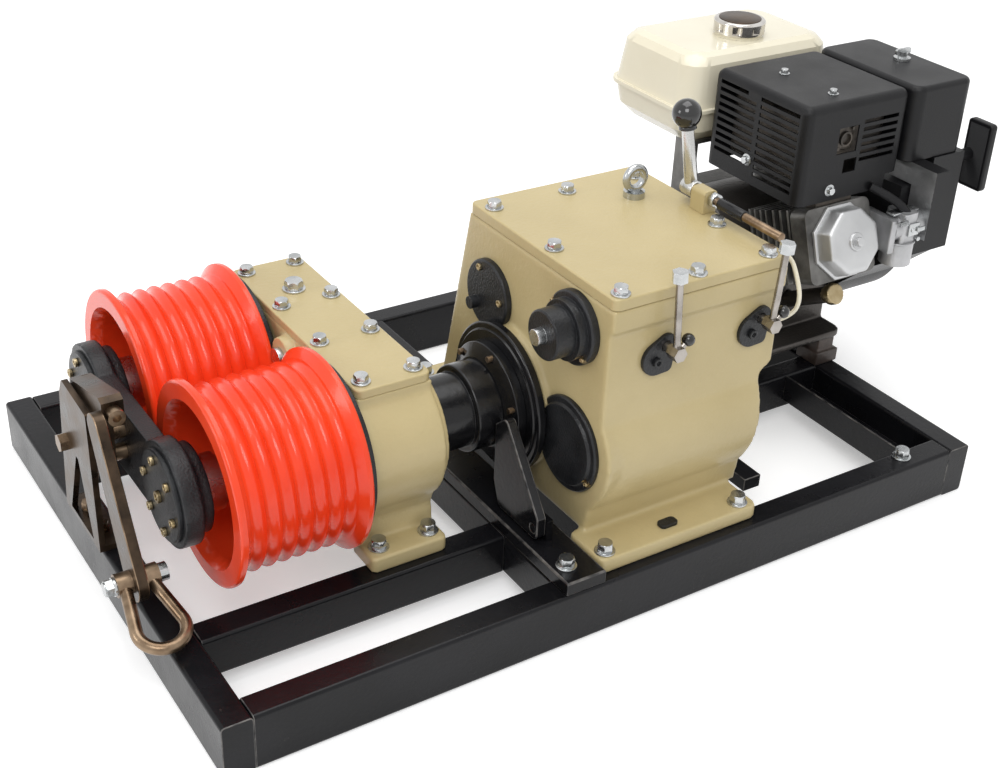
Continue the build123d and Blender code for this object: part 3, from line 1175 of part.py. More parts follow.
NODES = {
    "end_rail_left": end_rail(-1),
    "end_rail_right": end_rail(1),
    "long_rail_near": long_rail(-1),
    "long_rail_far": long_rail(1),
    "inner_rails": inner_rails(),
    "cross_rail_mid": tube_y(MID_CROSS_X, -INSIDE_Y, INSIDE_Y, LOW_RAIL_Z),
    "cross_rail_centre": tube_y(0, -INSIDE_Y, INSIDE_Y, 0),
    "engine_rails": engine_rails(),
    "cross_bar": cross_bar(),
    "trays": trays(),
    "deck_bolts": deck_bolts(),
    "drum_near": drum(-DRUM_SPREAD),
    "drum_far": drum(DRUM_SPREAD),
    "shaft_near": drum_shaft(-DRUM_SPREAD, SHAFT_NEAR_END_X),
    "shaft_far": drum_shaft(DRUM_SPREAD, DRUM_BOX_END_X - DRUM_BOX_END_WALL + JOURNAL_DEPTH - 1),
    "drive_flange_near": drive_flange(-DRUM_SPREAD),
    "drive_flange_far": drive_flange(DRUM_SPREAD),
    "drum_gear_near": drum_gear(-1),
    "drum_gear_far": drum_gear(1),
    "idler_gear": idler_gear(),
    "bearing_bridge": bearing_bridge(),
    "bearing_caps": bearing_caps(),
    "drum_box_case": drum_box_case(),
    "drum_box_cover": drum_box_cover(),
    "cover_bolts": cover_bolts(),
    "coupling_sleeve": coupling_sleeve(),
    "coupling_hub": coupling_hub(),
    "coupling_screws": coupling_screws(),
    "brake_disc": brake_disc(),
    "main_case": main_case(),
    "main_cover": main_cover(),
    "lifting_eye": lifting_eye(),
    "side_caps": side_caps(),
    "shift_plates": shift_plates(),
    "shift_lever_left": shift_lever(SHIFT_A_X, -SHIFT_LEAN),
    "shift_lever_right": shift_lever(SHIFT_B_X, SHIFT_LEAN),
    "clutch_lever": clutch_lever(),
    "pawl": pawl(),
    "pawl_pin": pawl_pin(),
    "anchor_bracket": anchor_bracket(),
    "anchor_bolts": anchor_bolts(),
    "anchor_arm": anchor_arm(),
    "shackle_pin": shackle_pin(),
    "shackle_bow": shackle_bow(),
    "clutch_bell": clutch_bell(),
    "crankshaft": crankshaft(),
    "engine_feet": engine_feet(),
    "crankcase": crankcase(),
    "cylinder_and_head": cylinder_and_head(),
    "rocker_cover": rocker_cover(),
    "muffler_guard": muffler_guard(),
    "muffler": muffler(),
    "air_cleaner": air_cleaner(),
    "wing_nut": wing_nut(),
    "fuel_tank": fuel_tank(),
    "fuel_cap": fuel_cap(),
    "tank_bracket": tank_bracket(),
    "blower_housing": blower_housing(),
    "carburettor": carburettor(),
    "starter_grip": starter_grip(),
}

os.makedirs("parts", exist_ok=True)
for node, solid in NODES.items():
    export_step(solid, f"parts/{node}.step")
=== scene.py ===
import json
import math

import bpy
from mathutils import Matrix, Vector

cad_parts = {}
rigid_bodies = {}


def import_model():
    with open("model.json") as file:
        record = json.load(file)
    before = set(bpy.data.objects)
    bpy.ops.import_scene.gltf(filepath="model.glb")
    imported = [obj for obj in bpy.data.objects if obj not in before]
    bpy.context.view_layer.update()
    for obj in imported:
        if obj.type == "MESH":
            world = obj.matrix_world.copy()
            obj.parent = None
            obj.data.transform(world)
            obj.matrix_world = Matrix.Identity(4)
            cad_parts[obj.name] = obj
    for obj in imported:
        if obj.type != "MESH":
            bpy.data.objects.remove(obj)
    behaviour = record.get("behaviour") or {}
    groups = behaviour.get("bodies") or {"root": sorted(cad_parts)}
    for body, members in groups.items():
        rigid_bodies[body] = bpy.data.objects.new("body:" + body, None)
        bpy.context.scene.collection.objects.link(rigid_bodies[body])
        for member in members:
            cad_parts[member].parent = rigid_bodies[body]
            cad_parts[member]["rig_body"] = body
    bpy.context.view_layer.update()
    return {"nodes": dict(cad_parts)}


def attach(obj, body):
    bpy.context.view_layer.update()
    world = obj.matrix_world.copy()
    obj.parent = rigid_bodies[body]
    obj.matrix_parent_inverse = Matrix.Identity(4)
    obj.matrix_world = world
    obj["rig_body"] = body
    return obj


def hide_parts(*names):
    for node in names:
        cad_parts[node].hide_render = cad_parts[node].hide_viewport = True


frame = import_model()
bpy.ops.object.select_all(action="DESELECT")


# Places in metres: X runs from the shackle to the engine, Y away from the camera, Z up

# Heights of the faces that bolts stand on
DECK_Z = 0.080
CROSS_BAR_TOP_Z = 0.099
FOOT_TOP_Z = 0.102
DRUM_BOX_TOP_Z = 0.325
MAIN_TOP_Z = 0.455
GUARD_TOP_Z = 0.558

# Drums and gearboxes; the near drum's axle is in line with the coupling and its boss on the main case
AXLE_Y, AXLE_Z = -0.135, 0.220
BEARING_CAP_FACE_X = -0.556
DRUM_BOX_MIDDLE_X = -0.263
MAIN_FACE_X = -0.050
LOW_CAP_Y, LOW_CAP_Z = -0.273, 0.216
NIPPLE_X = -0.1035
CAP_SCREW_REACH = 0.0065
VENT_X = 0.236

# Levers
CLUTCH_X, CLUTCH_Z = 0.218, 0.475
CLUTCH_HUB_Y = -0.150
SHIFT_XS = {"left": 0.036, "right": 0.191}
SHIFT_BALL_OFFSET = 0.0169
SHIFT_BALL_Y, SHIFT_BALL_Z = -0.3643, 0.3861
SHIFT_CAP_Z = 0.462

# Engine
CRANK_Y, CRANK_Z = 0.030, 0.272
CYLINDER_X = 0.487
CYLINDER_LEAN = 70  # degrees from upright
HEAD_END = 0.228  # from the crankshaft, along the cylinder
OIL_CAP = (0.516, -0.160, 0.2443)
GUARD_LEFT_X, GUARD_NEAR_Y = 0.405, -0.165
SLOT_START_Z, SLOT_PITCH, SLOT_HEIGHT = 0.436, 0.0115, 0.006
PORT_X, PORT_Z = 0.489, 0.500
BOWL_X, BOWL_Y = 0.588, -0.203
SPACER_X = 0.6212
FUEL_CAP_X, FUEL_CAP_Y, FUEL_CAP_TOP_Z = 0.523, 0.129, 0.5925
GRIP_Y, GRIP_Z = -0.156, 0.426

# Camera at the photograph's place, its turn in degrees and its lens in millimetres
CAMERA_PLACE = (-1.038, -1.586, 1.268)
CAMERA_TURN = (59.428, -2.153, -32.427)
CAMERA_LENS = 53.86


# Finishes


def surface(name, dark, light, rough, grain, patch, metallic=0.0, coat=0.0, shine=0.5):
    """Finish whose colour and gloss wander in soft patches, with a fine grain on top.

    rough is (low, high); grain is (scale, depth in metres); shine is the level of the clear reflection."""
    finish = bpy.data.materials.new(name)
    finish.use_nodes = True
    nodes, links = finish.node_tree.nodes, finish.node_tree.links
    shader = nodes["Principled BSDF"]
    shader.inputs["Metallic"].default_value = metallic
    shader.inputs["Coat Weight"].default_value = coat
    shader.inputs["Coat Roughness"].default_value = 0.12
    shader.inputs["Specular IOR Level"].default_value = shine
    place = nodes.new("ShaderNodeTexCoord").outputs["Object"]
    cloud = nodes.new("ShaderNodeTexNoise")
    cloud.inputs["Scale"].default_value = patch
    cloud.inputs["Detail"].default_value = 5.0
    links.new(place, cloud.inputs["Vector"])
    ramp = nodes.new("ShaderNodeValToRGB")
    ramp.color_ramp.elements[0].position = 0.35
    ramp.color_ramp.elements[0].color = (*dark, 1)
    ramp.color_ramp.elements[1].position = 0.68
    ramp.color_ramp.elements[1].color = (*light, 1)
    links.new(cloud.outputs["Fac"], ramp.inputs["Fac"])
    links.new(ramp.outputs["Color"], shader.inputs["Base Color"])
    gloss = nodes.new("ShaderNodeMapRange")
    gloss.inputs["From Min"].default_value = 0.3
    gloss.inputs["From Max"].default_value = 0.7
    gloss.inputs["To Min"].default_value = rough[0]
    gloss.inputs["To Max"].default_value = rough[1]
    links.new(cloud.outputs["Fac"], gloss.inputs["Value"])
    links.new(gloss.outputs["Result"], shader.inputs["Roughness"])
    fine = nodes.new("ShaderNodeTexNoise")
    fine.inputs["Scale"].default_value = grain[0]
    fine.inputs["Detail"].default_value = 3.0
    links.new(place, fine.inputs["Vector"])
    bump = nodes.new("ShaderNodeBump")
    bump.inputs["Strength"].default_value = 0.6
    bump.inputs["Distance"].default_value = grain[1]
    links.new(fine.outputs["Fac"], bump.inputs["Height"])
    links.new(bump.outputs["Normal"], shader.inputs["Normal"])
    return finish


def with_flecks(finish, color, scale, level):
    """Scatter small dusty flecks of another colour over a finish."""
    nodes, links = finish.node_tree.nodes, finish.node_tree.links
    shader = nodes["Principled BSDF"]
    base = shader.inputs["Base Color"].links[0].from_socket
    spots = nodes.new("ShaderNodeTexNoise")
    spots.inputs["Scale"].default_value = scale
    spots.inputs["Detail"].default_value = 8.0
    spots.inputs["Roughness"].default_value = 0.7
    links.new(nodes["Texture Coordinate"].outputs["Object"], spots.inputs["Vector"])
    ramp = nodes.new("ShaderNodeValToRGB")
    ramp.color_ramp.elements[0].position = level
    ramp.color_ramp.elements[0].color = (0, 0, 0, 1)
    ramp.color_ramp.elements[1].position = level + 0.06
    ramp.color_ramp.elements[1].color = (1, 1, 1, 1)
    links.new(spots.outputs["Fac"], ramp.inputs["Fac"])
    mix = nodes.new("ShaderNodeMix")
    mix.data_type = "RGBA"
    links.new(ramp.outputs["Color"], mix.inputs["Factor"])
    links.new(base, mix.inputs[6])
    mix.inputs[7].default_value = (*color, 1)
    links.new(mix.outputs[2], shader.inputs["Base Color"])


# Paints and castings
FRAME_PAINT = surface(
    "frame black", (0.005, 0.005, 0.006), (0.010, 0.010, 0.012), (0.2, 0.34), (160, 0.0004), 9, shine=0.22)
with_flecks(FRAME_PAINT, (0.05, 0.045, 0.04), 55, 0.67)
# Lighter grey for the frame's bevelled edges: partly wear, partly a painted highlight along the edges
FRAME_EDGE_WEAR_AND_HIGHLIGHT = surface(
    "frame edge wear and painted highlight", (0.02, 0.02, 0.022), (0.16, 0.15, 0.14), (0.3, 0.5), (200, 0.0003), 60, metallic=0.2)
DRUM_RED = surface(
    "drum enamel", (0.85, 0.052, 0.012), (0.92, 0.070, 0.018), (0.17, 0.25), (35, 0.0007), 14,
    coat=0.25, shine=0.3)
BEIGE = surface(
    "beige enamel", (0.50, 0.405, 0.205), (0.56, 0.46, 0.245), (0.3, 0.42), (170, 0.0010), 6,
    coat=0.12, shine=0.4)
BLACK_CAST = surface(
    "black casting", (0.010, 0.0105, 0.012), (0.021, 0.022, 0.024), (0.26, 0.42), (330, 0.0012), 25,
    shine=0.32)
BLACK_GLOSS = surface(
    "black enamel", (0.005, 0.005, 0.006), (0.011, 0.011, 0.012), (0.14, 0.26), (120, 0.0004), 18,
    shine=0.34)
BROWN_IRON = surface(
    "brown cast iron", (0.040, 0.029, 0.024), (0.10, 0.076, 0.064), (0.36, 0.55), (240, 0.0009), 30,
    metallic=0.1)
ENGINE_BLACK = surface(
    "matte engine black", (0.006, 0.006, 0.007), (0.012, 0.012, 0.013), (0.36, 0.48), (600, 0.0005), 16,
    shine=0.26)
PLASTIC = surface(
    "black moulding", (0.006, 0.006, 0.007), (0.011, 0.011, 0.012), (0.34, 0.46), (700, 0.0004), 12,
    shine=0.26)
BALL_BLACK = surface(
    "glossy ball black", (0.006, 0.006, 0.006), (0.012, 0.012, 0.012), (0.08, 0.14), (40, 0.0001), 10,
    coat=0.4)
CREAM = surface(
    "cream tank paint", (0.78, 0.72, 0.55), (0.84, 0.79, 0.63), (0.16, 0.26), (45, 0.0003), 5, coat=0.4)

# Bare and plated metals
STEEL = surface(
    "turned steel", (0.52, 0.52, 0.51), (0.66, 0.66, 0.65), (0.2, 0.3), (420, 0.0002), 20, metallic=1.0)
GEAR_STEEL = surface(
    "cut gear steel", (0.25, 0.25, 0.26), (0.4, 0.4, 0.41), (0.25, 0.4), (300, 0.0002), 30, metallic=1.0)
LEVER_STEEL = surface(
    "lever steel", (0.26, 0.24, 0.22), (0.42, 0.39, 0.36), (0.22, 0.34), (260, 0.0002), 40, metallic=1.0)
DARK_STEEL = surface(
    "heat-blued steel", (0.05, 0.045, 0.04), (0.14, 0.12, 0.1), (0.35, 0.5), (180, 0.0005), 30,
    metallic=0.8)
ZINC = surface(
    "zinc plate", (0.44, 0.455, 0.46), (0.62, 0.63, 0.635), (0.2, 0.3), (260, 0.0002), 40, metallic=1.0)
BRONZE = surface(
    "brown passivated steel", (0.022, 0.015, 0.010), (0.095, 0.062, 0.038), (0.24, 0.38), (150, 0.0005),
    26, metallic=0.8)
BRONZE_EDGE = surface(
    "rubbed brown edge", (0.15, 0.10, 0.062), (0.33, 0.24, 0.16), (0.24, 0.38), (150, 0.0003), 40,
    metallic=0.95)
BRASS = surface(
    "dull brass", (0.33, 0.25, 0.13), (0.52, 0.43, 0.27), (0.26, 0.38), (200, 0.0003), 40, metallic=1.0)
CHROME = surface(
    "plated cap", (0.5, 0.47, 0.43), (0.72, 0.70, 0.67), (0.1, 0.22), (90, 0.0002), 40, metallic=1.0)
COVER_ALLOY = surface(
    "pressed cover alloy", (0.50, 0.505, 0.51), (0.60, 0.605, 0.61), (0.34, 0.44), (420, 0.0003), 14,
    metallic=0.8)
ALLOY = surface(
    "die cast alloy", (0.34, 0.345, 0.35), (0.52, 0.52, 0.53), (0.34, 0.5), (260, 0.0006), 26,
    metallic=0.85)
# Crankcase finish: a dark, slightly brown grey
DARK_ALLOY = surface(
    "dark brownish alloy", (0.060, 0.054, 0.049), (0.105, 0.097, 0.090), (0.34, 0.5), (240, 0.0010), 10,
    metallic=0.7)
FIN_ALLOY = surface(
    "dusty fins", (0.10, 0.097, 0.092), (0.24, 0.235, 0.225), (0.36, 0.52), (240, 0.0008), 26,
    metallic=0.8)


# Making and dressing pieces


def only(piece):
    """Select one piece alone and make it active."""
    bpy.ops.object.select_all(action="DESELECT")
    piece.select_set(True)
    bpy.context.view_layer.objects.active = piece


def settle(piece):
    """Apply a piece's place to its mesh."""
    only(piece)
    bpy.ops.object.transform_apply(location=True, rotation=True, scale=True)


def apply_all(piece):
    """Apply a piece's modifiers."""
    only(piece)
    for modifier in list(piece.modifiers):
        bpy.ops.object.modifier_apply(modifier=modifier.name)


def dress(piece, name, body, finish, angle=35):
    """Name a piece, give it its finish, and let it ride on its body."""
    piece.name = name
    piece.data.name = name
    piece.data.materials.append(finish)
    only(piece)
    bpy.ops.object.shade_smooth_by_angle(angle=math.radians(angle))
    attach(piece, body)
    return piece


def node_copy(node):
    """A merged copy of a node's mesh, with its flat faces whole again."""
    source = frame["nodes"][node]
    piece = bpy.data.objects.new(node + "_skin", source.data.copy())
    bpy.context.scene.collection.objects.link(piece)
    piece.data.materials.clear()
    only(piece)
    bpy.ops.object.mode_set(mode="EDIT")
    bpy.ops.mesh.select_all(action="SELECT")
    bpy.ops.mesh.remove_doubles(threshold=0.00002)
    bpy.ops.mesh.dissolve_limited(angle_limit=math.radians(1.0))
    bpy.ops.object.mode_set(mode="OBJECT")
    return piece


def stand_in(piece, node):
    """Let a piece ride where its node does and take the node's place."""
    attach(piece, frame["nodes"][node]["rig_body"])
    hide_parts(node)
    return piece


def bevel(piece, width, segments=2, angle=32, edge_slot=-1):
    """Add a bevel to a piece's sharp edges, in a finish of their own where one is given."""
    soft = piece.modifiers.new("soft edges", "BEVEL")
    soft.width = width
    soft.segments = segments
    soft.limit_method = "ANGLE"
    soft.angle_limit = math.radians(angle)
    soft.use_clamp_overlap = True
    soft.material = edge_slot
    weigh = piece.modifiers.new("flat faces", "WEIGHTED_NORMAL")
    weigh.keep_sharp = True


def bevelled(piece, width, segments=2):
    """The piece with its sharp edges bevelled."""
    bevel(piece, width, segments)
    apply_all(piece)
    return piece


def softened(node, width, finish, edge=None):
    """Stand in for a node with a copy whose edges are rounded and, where an edge finish is given, in that
    finish: lighter wear with a painted highlight on the frame and pawl, rubbed brown on the anchor.
    """
    piece = node_copy(node)
    piece.data.materials.append(finish)
    if edge:
        piece.data.materials.append(edge)
    bevel(piece, width, edge_slot=1 if edge else -1)
    apply_all(piece)
    return stand_in(piece, node)


def second_finish(piece, finish, covers):
    """Give a second finish to the faces whose centres it covers."""
    piece.data.materials.append(finish)
    for face in piece.data.polygons:
        if covers(face.center):
            face.material_index = len(piece.data.materials) - 1


def near_point(point, reach):
    """Test for a face centre within reach of a point."""
    return lambda at: (at - Vector(point)).length < reach


def cast(node, extras, voxel, passes, share, finish):
    """Stand in for a node with a casting: solids and extras melt into one skin with filleted corners."""
    piece = fuse([node_copy(node), *extras])
    melt = piece.modifiers.new("one skin", "REMESH")
    melt.mode = "VOXEL"
    melt.voxel_size = voxel
    smooth = piece.modifiers.new("filleted corners", "SMOOTH")
    smooth.factor = 0.5
    smooth.iterations = passes
    thin = piece.modifiers.new("fewer faces", "DECIMATE")
    thin.ratio = share
    apply_all(piece)
    piece.data.materials.clear()
    piece.data.materials.append(finish)
    only(piece)
    bpy.ops.object.shade_smooth_by_angle(angle=math.radians(60))
    return stand_in(piece, node)


def rod(x, y, z, radius, length, axis="X", sides=32, taper=1.0):
    """Round bar about an axis, centred on a point; its far end may be narrower."""
    turn = {"X": (0, math.pi / 2, 0), "Y": (-math.pi / 2, 0, 0), "Z": (0, 0, 0)}[axis]
    bpy.ops.object.select_all(action="DESELECT")
    bpy.ops.mesh.primitive_cone_add(
        vertices=sides, radius1=radius, radius2=radius * taper, depth=length,
        location=(x, y, z), rotation=turn)
    piece = bpy.context.object
    settle(piece)
    return piece


def slab(x0, x1, y0, y1, z0, z1):
    """Box between two values on each axis."""
    bpy.ops.object.select_all(action="DESELECT")
    bpy.ops.mesh.primitive_cube_add(size=1, location=((x0 + x1) / 2, (y0 + y1) / 2, (z0 + z1) / 2))
    piece = bpy.context.object
    piece.scale = (x1 - x0, y1 - y0, z1 - z0)
    settle(piece)
    return piece


def fuse(pieces):
    """Join pieces into one object, the first of them."""
    bpy.ops.object.select_all(action="DESELECT")
    for piece in pieces:
        piece.select_set(True)
    bpy.context.view_layer.objects.active = pieces[0]
    if len(pieces) > 1:
        bpy.ops.object.join()
    return pieces[0]


def moved(piece, *steps):
    """The piece after a chain of moves, the last of them made first."""
    for step in reversed(steps):
        piece.data.transform(step)
    return piece


def at_place(x, y, z):
    """Move from the origin to a place."""
    return Matrix.Translation((x, y, z))


def turned(degrees, axis):
    """Turn about an axis through the origin."""
    return Matrix.Rotation(math.radians(degrees), 4, axis)


def cut_away(piece, cutters):
    """Take a set of cutters out of a piece."""
    cutter = fuse(cutters)
    cut = piece.modifiers.new("openings", "BOOLEAN")
    cut.operation = "DIFFERENCE"
    cut.solver = "EXACT"
    cut.use_self = True
    cut.object = cutter
    only(piece)
    bpy.ops.object.modifier_apply(modifier=cut.name)
    bpy.data.objects.remove(cutter)


# Frame


def dress_frame():
    """Rails, bars and trays in black paint, their edges lighter with wear and a painted highlight."""
    for rail in ("end_rail_left", "end_rail_right", "long_rail_near", "long_rail_far", "inner_rails",
                 "cross_rail_mid", "cross_rail_centre", "engine_rails", "cross_bar", "trays"):
        softened(rail, 0.0012, FRAME_PAINT, FRAME_EDGE_WEAR_AND_HIGHLIGHT)


# Drums and gearboxes


def dress_drums():
    """Both drums with their shafts, flanges, bearing bridge and caps with brass screws."""
    for side in ("near", "far"):
        softened("drum_" + side, 0.001, DRUM_RED)
        softened("shaft_" + side, 0.001, STEEL)
        softened("drive_flange_" + side, 0.001, BLACK_CAST)
    cast("bearing_bridge", [], 0.002, 6, 0.4, BLACK_CAST)
    caps = softened("bearing_caps", 0.0006, BLACK_CAST)
    second_finish(caps, BRASS, lambda at: at.x < BEARING_CAP_FACE_X - 0.0005)


def dress_side_caps():
    """Round caps with brass screws, and a plated nipple on the stub."""
    caps = softened("side_caps", 0.0008, BLACK_CAST)
    low_screw = (-0.059, -0.3255, 0.1845)
    near_screws = [(-0.064, -0.305, 0.359), (-0.064, -0.234, 0.410)]
    far_screws = [(-0.062, -0.111, 0.348), (-0.062, -0.059, 0.380)]
    tests = [near_point(screw, CAP_SCREW_REACH) for screw in (low_screw, *near_screws, *far_screws)]
    second_finish(caps, BRASS, lambda at: any(test(at) for test in tests))
    second_finish(caps, ZINC, lambda at: at.x < NIPPLE_X)


def dress_gearboxes():
    """Beige cases and covers, the side caps and the lifting eye."""
    cast("drum_box_case", [], 0.0025, 8, 0.4, BEIGE)
    softened("drum_box_cover", 0.001, BEIGE)
    axle_boss = rod(MAIN_FACE_X - 0.003, AXLE_Y, AXLE_Z, 0.100, 0.016)
    low_boss = rod(MAIN_FACE_X + 0.020, LOW_CAP_Y, LOW_CAP_Z, 0.088, 0.040, taper=0.86)
    cast("main_case", [axle_boss, low_boss], 0.003, 8, 0.5, BEIGE)
    softened("main_cover", 0.001, BEIGE)
    dress_side_caps()
    softened("lifting_eye", 0.0006, ZINC)


def dress_levers():
    """Coupling, shift levers with black balls and plated caps, and the pawl."""
    for node in ("coupling_sleeve", "coupling_hub", "brake_disc"):
        softened(node, 0.0012, BLACK_GLOSS)
    softened("coupling_screws", 0.0005, BRONZE_EDGE)
    softened("shift_plates", 0.001, BLACK_CAST)
    for side, x in SHIFT_XS.items():
        lever = softened("shift_lever_" + side, 0.0006, LEVER_STEEL)
        ball = (x + SHIFT_BALL_OFFSET, SHIFT_BALL_Y, SHIFT_BALL_Z)
        second_finish(lever, ZINC, lambda at: at.z > SHIFT_CAP_Z)
        second_finish(lever, BALL_BLACK, near_point(ball, 0.0095))
    # The pawl's edges take the frame's lighter edge finish: wear with a painted highlight
    softened("pawl", 0.002, BLACK_GLOSS, FRAME_EDGE_WEAR_AND_HIGHLIGHT)
    softened("pawl_pin", 0.001, BLACK_GLOSS)


def dress_anchor():
    """Brown bracket and arm with rubbed edges, and the shackle."""
    softened("anchor_bracket", 0.0015, BRONZE, BRONZE_EDGE)
    softened("anchor_arm", 0.0015, BRONZE, BRONZE_EDGE)
    softened("anchor_bolts", 0.0008, BRONZE_EDGE)
    softened("shackle_pin", 0.0008, ZINC)
    softened("shackle_bow", 0.001, BRONZE_EDGE)


def dress_engine():
    """Engine castings, tank, cleaner and carburettor, and the clutch bell on its shaft."""
    softened("clutch_bell", 0.0015, BLACK_CAST)
    softened("crankshaft", 0.001, STEEL)
    cast("engine_feet", [], 0.0015, 4, 0.4, BROWN_IRON)
    crankcase = cast("crankcase", [], 0.0024, 4, 0.4, DARK_ALLOY)
    second_finish(crankcase, BRASS, near_point(OIL_CAP, 0.0188))
    softened("cylinder_and_head", 0.0008, FIN_ALLOY)
    softened("muffler", 0.001, DARK_STEEL)
    softened("air_cleaner", 0.001, PLASTIC)
    softened("wing_nut", 0.0006, ZINC)
    softened("fuel_tank", 0.001, CREAM)
    softened("fuel_cap", 0.001, CHROME)
    softened("tank_bracket", 0.001, FIN_ALLOY)
    carburettor = softened("carburettor", 0.0012, ALLOY)
    second_finish(carburettor, PLASTIC, lambda at: at.x > SPACER_X)


def dress_gears():
    """Cut steel on the gears inside the drum gearbox."""
    for node in ("drum_gear_near", "drum_gear_far", "idler_gear"):
        gear = frame["nodes"][node]
        gear.data.materials.clear()
        gear.data.materials.append(GEAR_STEEL)


dress_frame()
dress_drums()
dress_gearboxes()
dress_levers()
dress_anchor()
dress_engine()
dress_gears()


# Fasteners


def chamfered_hex(flats, height):
    """Hexagon head whose top corners are turned off, standing on the origin."""
    head = rod(0, 0, height / 2, flats / math.sqrt(3), height, "Z", 6)
    bell = rod(0, 0, height / 2, flats * 0.72, height, "Z", 48, 0.70)
    cut = head.modifiers.new("turned corners", "BOOLEAN")
    cut.operation = "INTERSECT"
    cut.solver = "EXACT"
    cut.object = bell
    apply_all(head)
    bpy.data.objects.remove(bell)
    bevel(head, 0.0004, 1, 25)
    apply_all(head)
    return head


def bolt_stack(flats, height, washer_r, washer):
    """Head on a split spring washer and a flat washer, standing on the origin."""
    spring_height = 0.002
    plate = bevelled(rod(0, 0, washer / 2, washer_r, washer, "Z", 40), 0.0004)
    spring = rod(0, 0, washer + spring_height / 2, flats * 0.56, spring_height, "Z", 40)
    slot = slab(flats * 0.4, flats * 0.7, -0.0006, 0.0006, washer, washer + 0.003)
    cut = spring.modifiers.new("split", "BOOLEAN")
    cut.object = slot
    apply_all(spring)
    bpy.data.objects.remove(slot)
    head = moved(chamfered_hex(flats, height), at_place(0, 0, washer + spring_height))
    return fuse([head, spring, plate])


def bolt_set(places, flats, height, washer_r, washer, name):
    """Copies of one bolt stack, each turned by its own amount, joined as one piece."""
    first = bolt_stack(flats, height, washer_r, washer)
    extra_turn = math.degrees(0.7)
    heads = []
    for count, place in enumerate(places):
        one = bpy.data.objects.new("bolt", first.data.copy())
        bpy.context.scene.collection.objects.link(one)
        heads.append(moved(one, at_place(*place), turned(extra_turn * count, "Z")))
    bpy.data.objects.remove(first)
    return dress(fuse(heads), name, "skid", ZINC, angle=30)


def gearbox_bolts():
    """Cover bolts of both gearboxes and the drum gearbox's filler plug."""
    step = 0.17 / 3
    places = [(DRUM_BOX_MIDDLE_X + dx, count * step, DRUM_BOX_TOP_Z)
              for dx in (-0.037, 0.037) for count in (-3, -1, 1, 3)]
    left, middle, right = -0.033, 0.08524, 0.200
    rows = {-0.331: (left, middle, right), -0.189: (left,), -0.229: (right,), -0.047: (left, middle, right)}
    places += [(x, y, MAIN_TOP_Z) for y, xs in rows.items() for x in xs]
    covers = bolt_set(places, 0.017, 0.007, 0.0125, 0.0025, "cover_bolt_heads")
    plug_place = (DRUM_BOX_MIDDLE_X, 0.096, DRUM_BOX_TOP_Z)
    plug = bolt_set([plug_place], 0.023, 0.010, 0.016, 0.0025, "filler_plug_head")
    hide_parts("cover_bolts")
    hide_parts("cover_bolts")


def frame_bolts():
    """Bolts through the feet of both gearboxes and through the frame."""
    places = [(-0.110, side * 0.365, CROSS_BAR_TOP_Z) for side in (-1, 1)]
    places += [(0.484, side * 0.374, DECK_Z) for side in (-1, 1)]
    places += [(DRUM_BOX_MIDDLE_X + dx, side * 0.216, FOOT_TOP_Z)
               for side in (-1, 1) for dx in (-0.038, 0.035)]
    places += [(x, -0.367, FOOT_TOP_Z) for x in (-0.051, 0.172)]
    places += [(x, 0.143, FOOT_TOP_Z) for x in (-0.025, 0.172)]
    heads = bolt_set(places, 0.019, 0.010, 0.014, 0.0025, "frame_bolt_heads")
    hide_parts("deck_bolts")


def guard_screws():
    """Flanged screws on the exhaust guard's top, left face and near face."""
    flats, height, washer = 0.010, 0.004, 0.0012
    screws = []
    for x, y in ((0.479, -0.029), (0.483, -0.128)):
        screws.append(moved(bolt_stack(flats, height, 0.008, washer), at_place(x, y, GUARD_TOP_Z)))
    for place, turn in (((GUARD_LEFT_X, -0.052, 0.445), turned(-90, "Y")),
                        ((0.4665, GUARD_NEAR_Y, 0.427), turned(90, "X"))):
        screws.append(moved(bolt_stack(flats, height, 0.009, washer), at_place(*place), turn))
    dress(fuse(screws), "guard_screws", "skid", ZINC, angle=30)


gearbox_bolts()
frame_bolts()
guard_screws()


# Engine trim


def stand_for(piece, node, finish):
    """Round a piece's edges, finish it, and let it stand for its node."""
    piece.data.materials.append(finish)
    stand_in(bevelled(piece, 0.0005), node)


def exhaust_guard():
    """Guard with full rows of slots, the exhaust port and the raised lower corner."""
    piece = node_copy("muffler_guard")
    outside, inside = GUARD_LEFT_X - 0.005, GUARD_LEFT_X + 0.0045
    rows = [SLOT_START_Z + SLOT_PITCH * i for i in range(-1, 10)]
    cutters = [slab(outside, inside, -0.148, -0.066, z, z + SLOT_HEIGHT) for z in rows]
    cutters += [slab(outside, inside, -0.038, 0.023, z, z + SLOT_HEIGHT) for z in rows[1:]]
    front, back = GUARD_NEAR_Y - 0.005, GUARD_NEAR_Y + 0.005
    port = slab(0.470, 0.508, front, back, 0.480, 0.520)
    window = slab(0.487, 0.512, front, back, 0.449, 0.470)
    corner = slab(0.577, 0.612, -0.172, -0.030, 0.400, 0.432)
    cut_away(piece, [*cutters, port, window, corner])
    stand_for(piece, "muffler_guard", ENGINE_BLACK)


def exhaust_port():
    """Flanged outlet pipe of the muffler behind the square port."""
    face_y = -0.158
    flange = bevelled(slab(0.472, 0.506, face_y, face_y + 0.003, 0.482, 0.518), 0.003, 3)
    outlet = rod(PORT_X, face_y, PORT_Z, 0.011, 0.008, "Y", 36)
    cut_away(outlet, [rod(PORT_X, face_y - 0.002, PORT_Z, 0.0085, 0.012, "Y", 36)])
    nuts = []
    for x, z in ((0.476, 0.486), (0.502, 0.514)):
        nuts.append(moved(chamfered_hex(0.006, 0.003), at_place(x, face_y, z), turned(90, "X")))
    dress(fuse([flange, outlet, *nuts]), "exhaust_outlet", "skid", DARK_STEEL)


